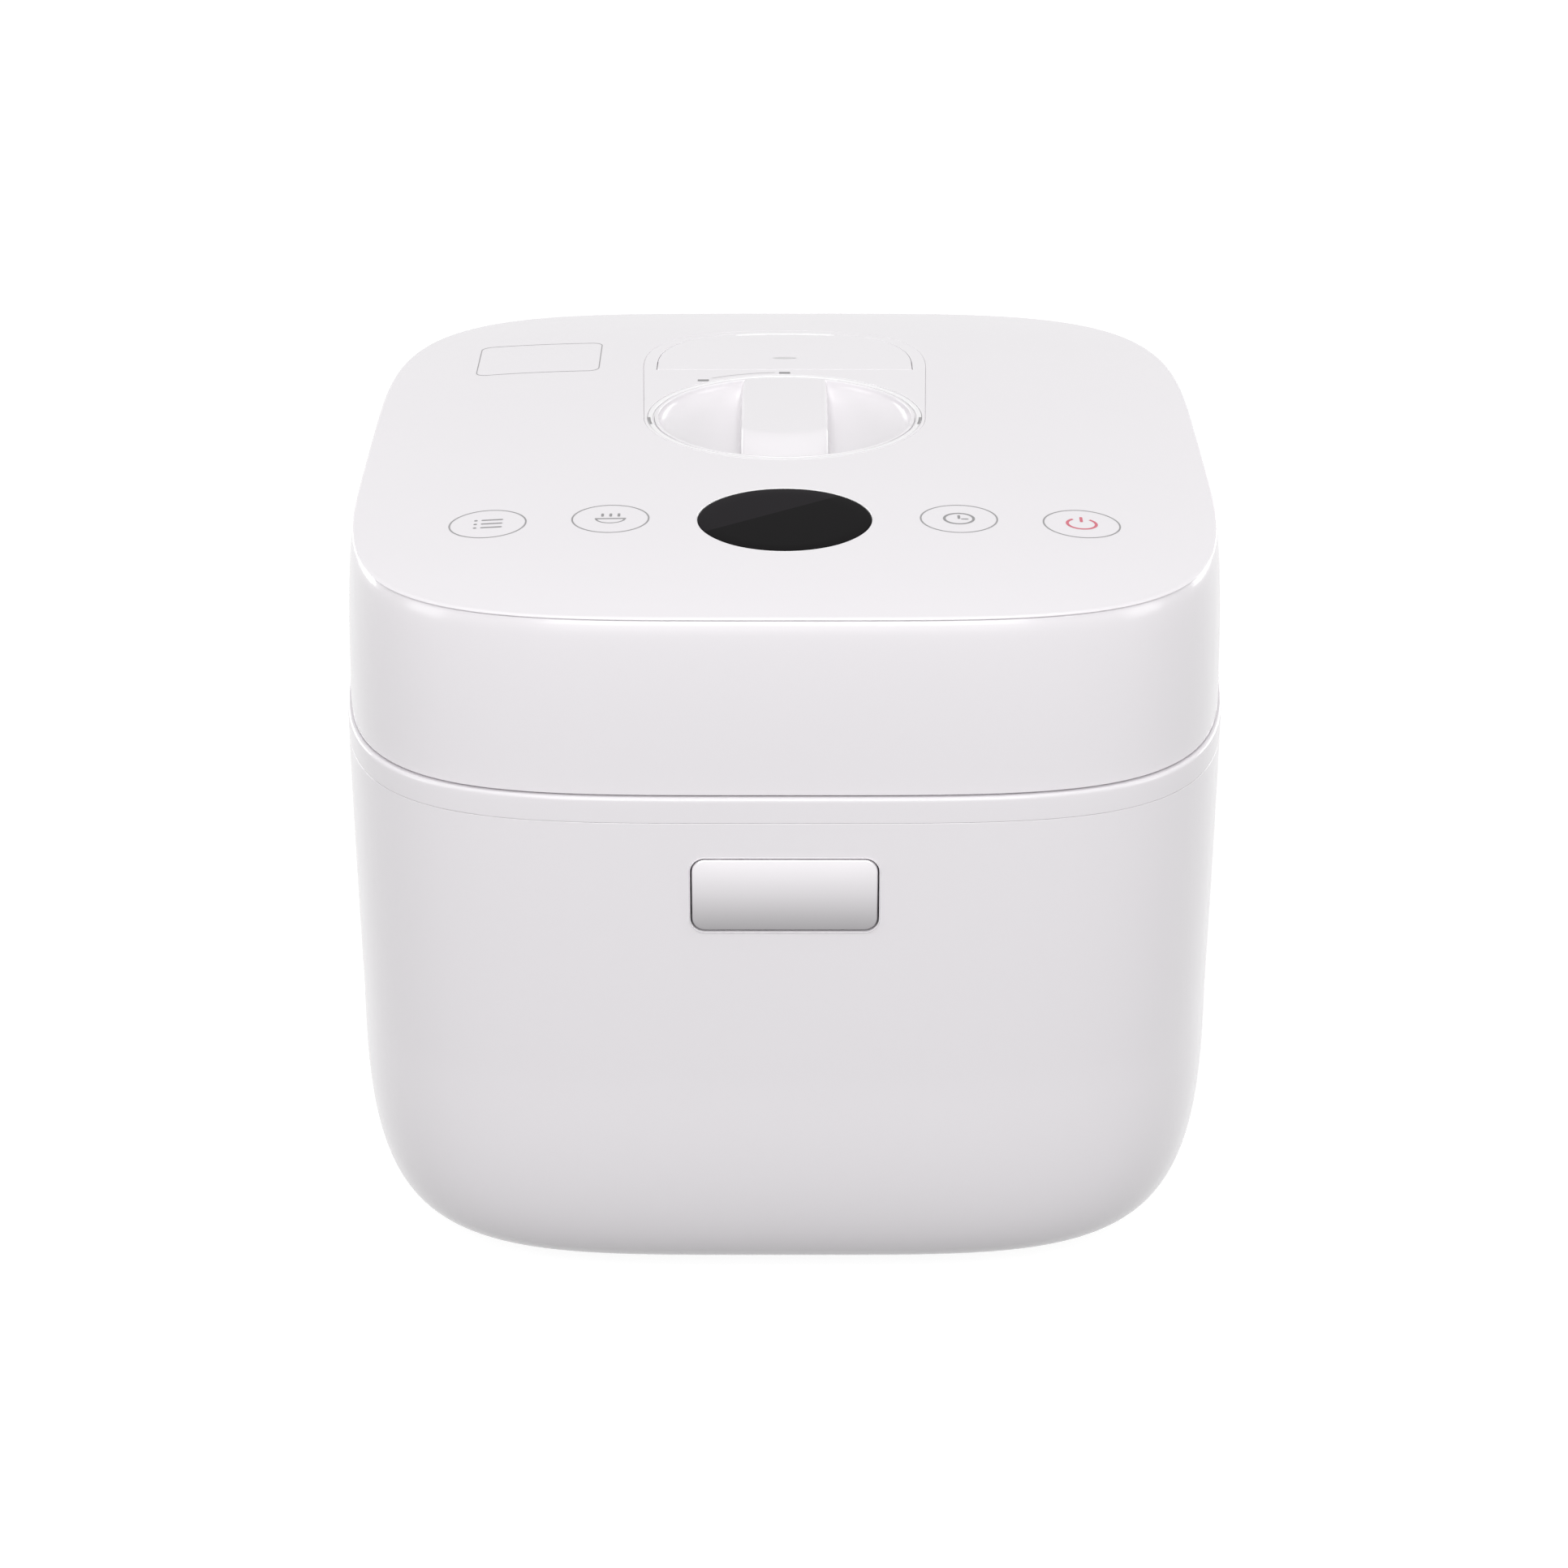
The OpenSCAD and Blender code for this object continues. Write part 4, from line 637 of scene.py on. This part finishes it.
def knob_height(x, y):
    """Height of the knob's upper face inside its rim, x and y from the knob's axis: a bowl with a bar
    across it that slopes down to the front."""
    r = np.minimum(np.hypot(x, y) / RIM_R, 1.0)
    back = np.clip((np.abs(x) - 11.5) / 4.0, 0, 1)
    edge = np.where(y > 0, back * back * (3 - 2 * back), 1.0) * 0.5
    bowl = KNOB_TOP - edge - (DEPTH - 0.5) * np.sqrt(np.maximum(0, 1 - r ** 2.2))
    out = np.abs(x) - BAR_FOOT
    fillet = FOOT_R - np.sqrt(np.maximum(0, FOOT_R ** 2 - (FOOT_R - out) ** 2))
    foot = np.where((out >= 0) & (out < FOOT_R), fillet, 0.0)
    beside = np.where(out >= 0, bowl + foot * (1 - r ** 6), bowl)
    run = -15.3 + 3.9 * (x / 13.5) ** 2 - y
    slope = np.where(run > 0, 0.43 * (np.sqrt(run ** 2 + 9) - 3), 0.0)
    side = np.clip(np.abs(x) - BAR_X, 0, BAR_ROUND)
    bar = KNOB_TOP - slope - (BAR_ROUND - np.sqrt(np.maximum(0, BAR_ROUND ** 2 - side ** 2)))
    h = np.clip(0.5 + 0.5 * (bar - bowl) / 0.8, 0, 1)
    joined = bowl * (1 - h) + bar * h + 0.8 * h * (1 - h) * np.where(bar > KNOB_TOP - 0.05, 0, 1)
    return np.where(out < 0, np.minimum(joined, KNOB_TOP), beside)


# Grid of the upper face: columns crowd at the bar's edges and its foot
bar_edge = BAR_X + BAR_ROUND * np.sin(np.radians([88, 75, 60, 45, 30, 15, 0]))
xs = np.concatenate([RIM_R * np.cos(np.linspace(0.0, math.acos(16.2 / RIM_R), 26)),
                     np.linspace(16.2, BAR_FOOT, 8)[1:], bar_edge, np.linspace(BAR_X, 0, 9)[1:]])
xs = np.concatenate([-xs, xs[::-1][1:]])
vs = np.sin(np.linspace(-math.pi / 2, math.pi / 2, 81))
X = np.repeat(xs[:, None], len(vs), 1)
Y = np.sqrt(np.maximum(0, RIM_R ** 2 - X ** 2)) * vs[None, :]
co = np.stack([X, Y + KNOB_Y, knob_height(X, Y)], -1).reshape(-1, 3)
nx, nv = len(xs), len(vs)
faces = [(i * nv + j, (i + 1) * nv + j, (i + 1) * nv + j + 1, i * nv + j + 1)
         for i in range(nx - 1) for j in range(nv - 1)]
loop = [i * nv for i in range(nx)] + [i * nv + nv - 1 for i in range(nx - 2, 0, -1)]
rim_z = co[loop][:, 2]
phi = np.arctan2(co[loop][:, 1] - KNOB_Y, co[loop][:, 0])


def knob_ring(r, z):
    return np.column_stack([r * np.cos(phi), KNOB_Y + r * np.sin(phi), np.broadcast_to(z, phi.shape)])


# Rings from the face's edge over the rim and down the side
rings = [knob_ring(RIM_R + 0.4 * (1 - math.cos(a)), rim_z + (KNOB_TOP - rim_z) * math.sin(a))
         for a in (0.4, 0.8, 1.2, math.pi / 2)]
rings += [knob_ring(40.4 + 0.3 * math.sin(a), KNOB_TOP - 0.3 * (1 - math.cos(a)))
          for a in (0, 0.5, 1.0, math.pi / 2)]
rings += [knob_ring(KNOB_R, 205.2), knob_ring(40.4, 204.7), knob_ring(39.7, 204.7)]
base, n = len(co), len(loop)
faces += [(loop[i], loop[(i + 1) % n], base + (i + 1) % n, base + i) for i in range(n)]
faces += [tuple(base + i for i in f) for f in grid_faces(len(rings), n)]
faces.append(tuple(range(base + (len(rings) - 1) * n, base + len(rings) * n)))
knob = recalc(new_object("knob_body", np.concatenate([co] + rings), faces))
dress(knob, "knob", KNOB_WHITE, ["rotary_knob"], 40)

# ---------------------------------------------------------------- display
LEAN = math.radians(1.8)
PAINTED_REFLECTION_FROM, PAINTED_REFLECTION_TO = (-21.9, -9.0), (15.8, 19.0)  # slanting edge of the painted reflection, the lighter part of the glass's colour
PAINTED_REFLECTION_BLUR = 0.00015


def lean_rings(profile, n=192):
    """Rings [radius, height] in the display's own frame: its middle is on the crown and it leans forward."""
    sin, cos = math.sin(LEAN), math.cos(LEAN)
    return [np.array([(x, DISPLAY_Y + y * cos - z * sin, DISPLAY_Z + y * sin + z * cos)
                      for x, y in arc(0, 0, r, r, full_turn(n))]) for r, z in profile]


def math_node(tree, op, a, b):
    m = tree.nodes.new("ShaderNodeMath")
    m.operation = op
    for i, v in enumerate((a, b)):
        if isinstance(v, (int, float)):
            m.inputs[i].default_value = v
        else:
            tree.links.new(v, m.inputs[i])
    return m.outputs[0]


def place_of(tree):
    """Outputs x, y and z of the place on the piece."""
    split = tree.nodes.new("ShaderNodeSeparateXYZ")
    tree.links.new(tree.nodes["Texture Coordinate"].outputs["Object"], split.inputs[0])
    return split.outputs


window = rings_mesh("display_glass", lean_rings([
    (25.0, -2.2), (25.5, -1.9), (25.58, -0.35), (25.45, -0.12), (25.2, -0.02), (24.9, 0.0), (20, 0.0),
    (10, 0.0)]), cap=True)
glass = principled("look_glass", (0.012, 0.011, 0.012), 0.12, specular=0.008, bump=(300, 0.004, 1))
nt = glass.node_tree
# The glass's colour turns lighter past a slanting edge: a painted reflection on the display.
place = place_of(nt)
(ax, ay), (bx, by) = PAINTED_REFLECTION_FROM, PAINTED_REFLECTION_TO
length = math.hypot(by - ay, bx - ax)
px = math_node(nt, "MULTIPLY", math_node(nt, "SUBTRACT", place[0], ax / 1000), (ay - by) / length)
py = math_node(nt, "MULTIPLY", math_node(nt, "SUBTRACT", place[1], (DISPLAY_Y + ay + SHIFT_Y) / 1000),
               (bx - ax) / length)
ramp = nt.nodes.new("ShaderNodeMapRange")
ramp.inputs["From Min"].default_value = -PAINTED_REFLECTION_BLUR
ramp.inputs["From Max"].default_value = PAINTED_REFLECTION_BLUR
nt.links.new(math_node(nt, "ADD", px, py), ramp.inputs["Value"])
display_painted_reflection = nt.nodes.new("ShaderNodeMix")
display_painted_reflection.data_type = "RGBA"
display_painted_reflection.inputs[6].default_value = (0.004, 0.0034, 0.004, 1)
display_painted_reflection.inputs[7].default_value = (0.0125, 0.0108, 0.013, 1)
nt.links.new(ramp.outputs["Result"], display_painted_reflection.inputs[0])
nt.links.new(display_painted_reflection.outputs[2], nt.nodes["Principled BSDF"].inputs["Base Color"])
dress(window, "lid", glass, ["display_window"], 40)
display_rim = rings_mesh("display_rim", lean_rings([
    (25.62, -0.6), (25.62, -0.02), (25.7, 0.04), (25.85, 0.08), (26.05, 0.07), (26.25, 0.0), (26.3, -0.12),
    (26.3, -0.6)]), closed=True)
# The rim's lighter white is a painted highlight round the display.
dress(display_rim, "lid", HIGHLIGHT_WHITE, (), 60)

# ---------------------------------------------------------------- release button and its frame
FACE_W, FACE_H, FACE_R, FACE_BACK = 53.1, 22.0, 3.8, 4.4
FACE_EDGE, BULGE = 1.1, 0.3  # how far the rounded edge of the face goes in, and how far the face bulges
PAINTED_REFLECTION_GREYS = ((0.0, 0.33), (0.5, 0.60), (1.0, 0.82))  # greys up the face: a painted reflection, dark at the bottom and light at the top

SILVER = principled("look_silver", (0.74, 0.735, 0.745), 0.3, metallic=0.75, bump=(5000, 0.02, 2), grain=0.02)
# The face's colour grows lighter from its bottom to its top: a painted reflection.
nt = SILVER.node_tree
height = nt.nodes.new("ShaderNodeMapRange")
height.inputs["From Min"].default_value = (FACE_Z - FACE_H / 2) / 1000
height.inputs["From Max"].default_value = (FACE_Z + FACE_H / 2) / 1000
nt.links.new(place_of(nt)[2], height.inputs["Value"])
button_painted_reflection = nt.nodes.new("ShaderNodeValToRGB")
button_painted_reflection.color_ramp.elements.new(0.5)
for stop, (at, grey) in zip(button_painted_reflection.color_ramp.elements, PAINTED_REFLECTION_GREYS):
    stop.position, stop.color = at, (grey, grey * 0.972, grey, 1)
nt.links.new(height.outputs["Result"], button_painted_reflection.inputs["Fac"])
nt.links.new(button_painted_reflection.outputs["Color"], nt.nodes["Principled BSDF"].inputs["Base Color"])


def front_rings(levels):
    """Rings of a rounded rectangle that faces forward: [width, height, corner, y], y from the front plane."""
    return [facing_front(round_rect(w, h, r, 14), BUTTON_FRONT + y) for w, h, r, y in levels]


levels = [(FACE_W, FACE_H, FACE_R, FACE_BACK), (FACE_W, FACE_H, FACE_R, 0.75)]
for a in (0.35, 0.7, 1.05, 1.4):
    into = FACE_EDGE * (1 - math.cos(a))
    levels.append((FACE_W - into, FACE_H - into, FACE_R - into / 2, 0.75 - 0.45 * math.sin(a)))
edge_rings = front_rings(levels)
w, h, r, y0 = levels[-1]
last_outline = round_rect(w, h, r, 14)
face_rings = []
for k in (1.0, 0.97, 0.92, 0.84, 0.72, 0.56, 0.38, 0.18):
    p = last_outline * k
    bulge = BULGE * (1 - (np.abs(p[:, 1]) / (h / 2)) ** 2) * (1 - (np.abs(p[:, 0]) / (w / 2)) ** 6)
    face_rings.append(facing_front(p, BUTTON_FRONT + y0 - bulge))
whole = [tuple(range(len(last_outline)))]
stem = revolve("stem", [(5, 0), (5, 9.5), (1.5, 9.6), (1.5, 12.5)], n=48, cap=True)
stem.data.transform(Matrix.Translation((0, (BUTTON_FRONT + 4.3 + SHIFT_Y) / 1000, BUTTON_Z / 1000)) @
                    Matrix.Rotation(-math.pi / 2, 4, "X") @ Matrix.Translation((0, -SHIFT_Y / 1000, 0)))
middle, back = new_object("mid", face_rings[-1], whole), new_object("back", edge_rings[0], whole)
button = recalc(join([rings_mesh("edge", edge_rings), rings_mesh("face", face_rings), middle, back, stem]))
button.name = "release_button_face"
dress(button, "release_button", SILVER, ["release_button"], 35)

# The frame's front edge, from its outside over the front to the hole
outside = [(FRAME_W, FRAME_H, FRAME_R, 13.4), (FRAME_W, FRAME_H, FRAME_R, 0.4), (54.56, 23.46, 4.48, 0.18),
           (54.4, 23.3, 4.4, 0.04), (54.2, 23.1, 4.3, 0.0)]
hole = [(54.05, 22.95, 4.22, 0.05), (53.93, 22.83, 4.16, 0.2), (53.9, 22.8, 4.15, 0.4),
        (53.9, 22.8, 4.15, 12.3)]
bezel = rings_mesh("button_frame", front_rings(outside + hole))
plug = rings_mesh("plug", front_rings([hole[-1], outside[0]]), cap=True)
dress(join([bezel, plug]), "base", WHITE, ["button_bezel"], 35)


# ---------------------------------------------------------------- printed marks and painted shade on the lid
def dense(loop, step=1.5):
    """The loop with extra points along its long edges, so that a print follows the crown."""
    out = []
    for a, b in zip(loop, np.roll(loop, -1, 0)):
        k = max(1, int(math.hypot(*(b - a)) / step))
        out += [a + (b - a) * i / k for i in range(k)]
    return np.array(out)


def mark(name, loops, body, material, lift=0.035, height=crown_of):
    """Thin print on the lid, also used for painted shade, from closed outlines, where an outline inside
    another is a hole.
    """
    p, f = sheet([dense(np.array(loop, float)) for loop in loops])
    obj = new_object(name, np.column_stack([p, height(p[:, 0], p[:, 1]) + lift]), f)
    obj.data.shade_smooth()
    obj.data.materials.append(material)
    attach(obj, body)


def ring_loops(cx, cy, r, w, n=96):
    """The two circles of a printed ring of width w."""
    t = full_turn(n)
    return [np.column_stack([cx + q * np.cos(t), cy + q * np.sin(t)]) for q in (r + w / 2, r - w / 2)]


def strip(cx, cy, outer, inner, angles):
    """Closed outline of a strip between two arcs."""
    return arc(cx, cy, outer, outer, angles) + arc(cx, cy, inner, inner, angles[::-1])


def bar_loop(cx, cy, w, h, r=None):
    """Outline of a printed bar, with round ends unless r says otherwise."""
    return np.array([cx, cy]) + round_rect(w, h, min(w, h) / 2 * 0.98 if r is None else r, 5)


# Touch keys: a ring each, with a list, a bowl, a clock and a power sign
KEYS = [(-86.9, -80.4), (-51, -79), (51, -79), (86.9, -80.4)]
for i, (kx, ky) in enumerate(KEYS):
    mark(f"key_ring_{i}", ring_loops(kx, ky, 11.2, 0.5), "lid", INK_RING)
kx, ky = KEYS[0]
mark("key_menu", [bar_loop(kx - 3.6, ky + d, 1.1, 1.1) for d in (3, 0, -3)] +
     [bar_loop(kx + 1.2, ky + d, 6.4, 0.9) for d in (3, 0, -3)], "lid", INK_AND_PAINTED_SHADE)
kx, ky = KEYS[1]
half = np.linspace(0, -math.pi, 25)
mark("key_bowl", [arc(kx, ky + 0.4, 4.6, 4.2, half), arc(kx, ky - 0.4, 3.8, 2.9, half)] +
     [bar_loop(kx + d, ky + 2.9, 0.8, 2.6) for d in (-2.4, 0, 2.4)], "lid", INK_AND_PAINTED_SHADE)
kx, ky = KEYS[2]
mark("key_clock", ring_loops(kx, ky, 4.3, 0.8, 64) +
     [bar_loop(kx, ky + 1.25, 0.8, 2.9), bar_loop(kx + 1.7, ky - 0.35, 2.2, 0.8)], "lid", INK_AND_PAINTED_SHADE)
kx, ky = KEYS[3]
mark("key_power", [strip(kx, ky, 4.7, 3.8, np.radians(np.linspace(125, 415, 49))),
                   bar_loop(kx, ky + 3.4, 0.9, 4.2)], "lid", INK_RED)

# Index marks of the lid lock, painted shade in the gaps at the ends of the knob's ring, the lock's faint arc,
# the steam cover's oval and the label's empty frame
for i, (cx, cy) in enumerate(arc(0, KNOB_Y, 45.0, 45.0, [math.radians(a) for a in (90, 125.4)])):
    mark(f"lock_index_{i}", [bar_loop(cx, cy, 3.6, 1.9, 0.2)], "lid", INK_DARK)
# Dark marks on the ring's top at its left and right ends: painted shade of the gaps there.
gap_shade_turn, spread = math.radians(7), np.radians(np.linspace(-4.6, 4.6, 12))
for i, a in enumerate((math.pi + gap_shade_turn, 2 * math.pi - gap_shade_turn)):
    mark(f"knob_gap_shade_{i}", [strip(0, KNOB_Y, 42.75, 42.0, a + spread)], "lid", INK_AND_PAINTED_SHADE, 0.03,
         lambda x, y: np.full(len(x), RING_TOP))
mark("lock_arc", [strip(0, KNOB_Y, 45.6, 45.3, np.radians(np.linspace(94, 121, 40)))], "lid", INK_PALE)
t = full_turn(48)
mark("steam_oval", [np.column_stack([3.9 * np.cos(t), 79.4 + 1.1 * np.sin(t)])], "steam_cover", INK_FAINT)
label = np.array([-80, 82.5])
mark("label_frame", [round_rect(40, 34, 3.5, 8) + label, round_rect(39.4, 33.4, 3.2, 8) + label],
     "lid", INK_RING)

# ---------------------------------------------------------------- finishes of the CAD pieces that stay
FINISH = {
    "pot_well": ALUMINIUM, "coil_carrier": INNER_WHITE, "induction_coil": COPPER, "ferrite_bars": FERRITE,
    "sensor_housing": INNER_WHITE, "sensor_cap": ALUMINIUM, "base_plate": BASE_GREY, "feet": RUBBER,
    "base_screws": STEEL, "fan_frame": BLACK, "fan_rotor": BLACK, "power_board": BOARD, "board_parts": PARTS,
    "board_screws": STEEL, "inlet_housing": BLACK, "inlet_pins": STEEL, "latch_bracket": STEEL,
    "latch_pin": STEEL, "latch_hook": BLACK, "lock_keeper": STEEL, "rear_housing": WHITE, "hinge_pin": STEEL,
    "hinge_springs": SPRING, "dew_cup": WHITE, "inner_pot": COATING, "display_module": BLACK,
    "touch_board": BOARD, "touch_springs": SPRING, "lid_liner": INNER_WHITE, "lid_screws": STEEL,
    "inner_lid": ALUMINIUM, "seal_ring": SILICONE, "latch_plate": STEEL, "lid_hinge_arm": STEEL,
    "knob_shaft": STEEL, "knob_clip": SPRING, "lock_bolt": STEEL, "valve_body": INNER_WHITE,
    "pressure_weight": STEEL, "float_pin": STEEL,
}
for node, material in FINISH.items():
    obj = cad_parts[node]
    if obj.material_slots:
        for s in obj.material_slots:
            s.material = material
    else:
        obj.data.materials.append(material)


def spring_coils(node, body):
    """A copy of a CAD spring in spring steel, tied to its body in place of the CAD node."""
    obj = bpy.data.objects.new(node + "_coils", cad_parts[node].data.copy())
    scene.collection.objects.link(obj)
    dress(obj, body, SPRING, [node], 35)
    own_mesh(obj)


spring_coils("button_spring", "release_button")
spring_coils("sensor_spring", "sensor")
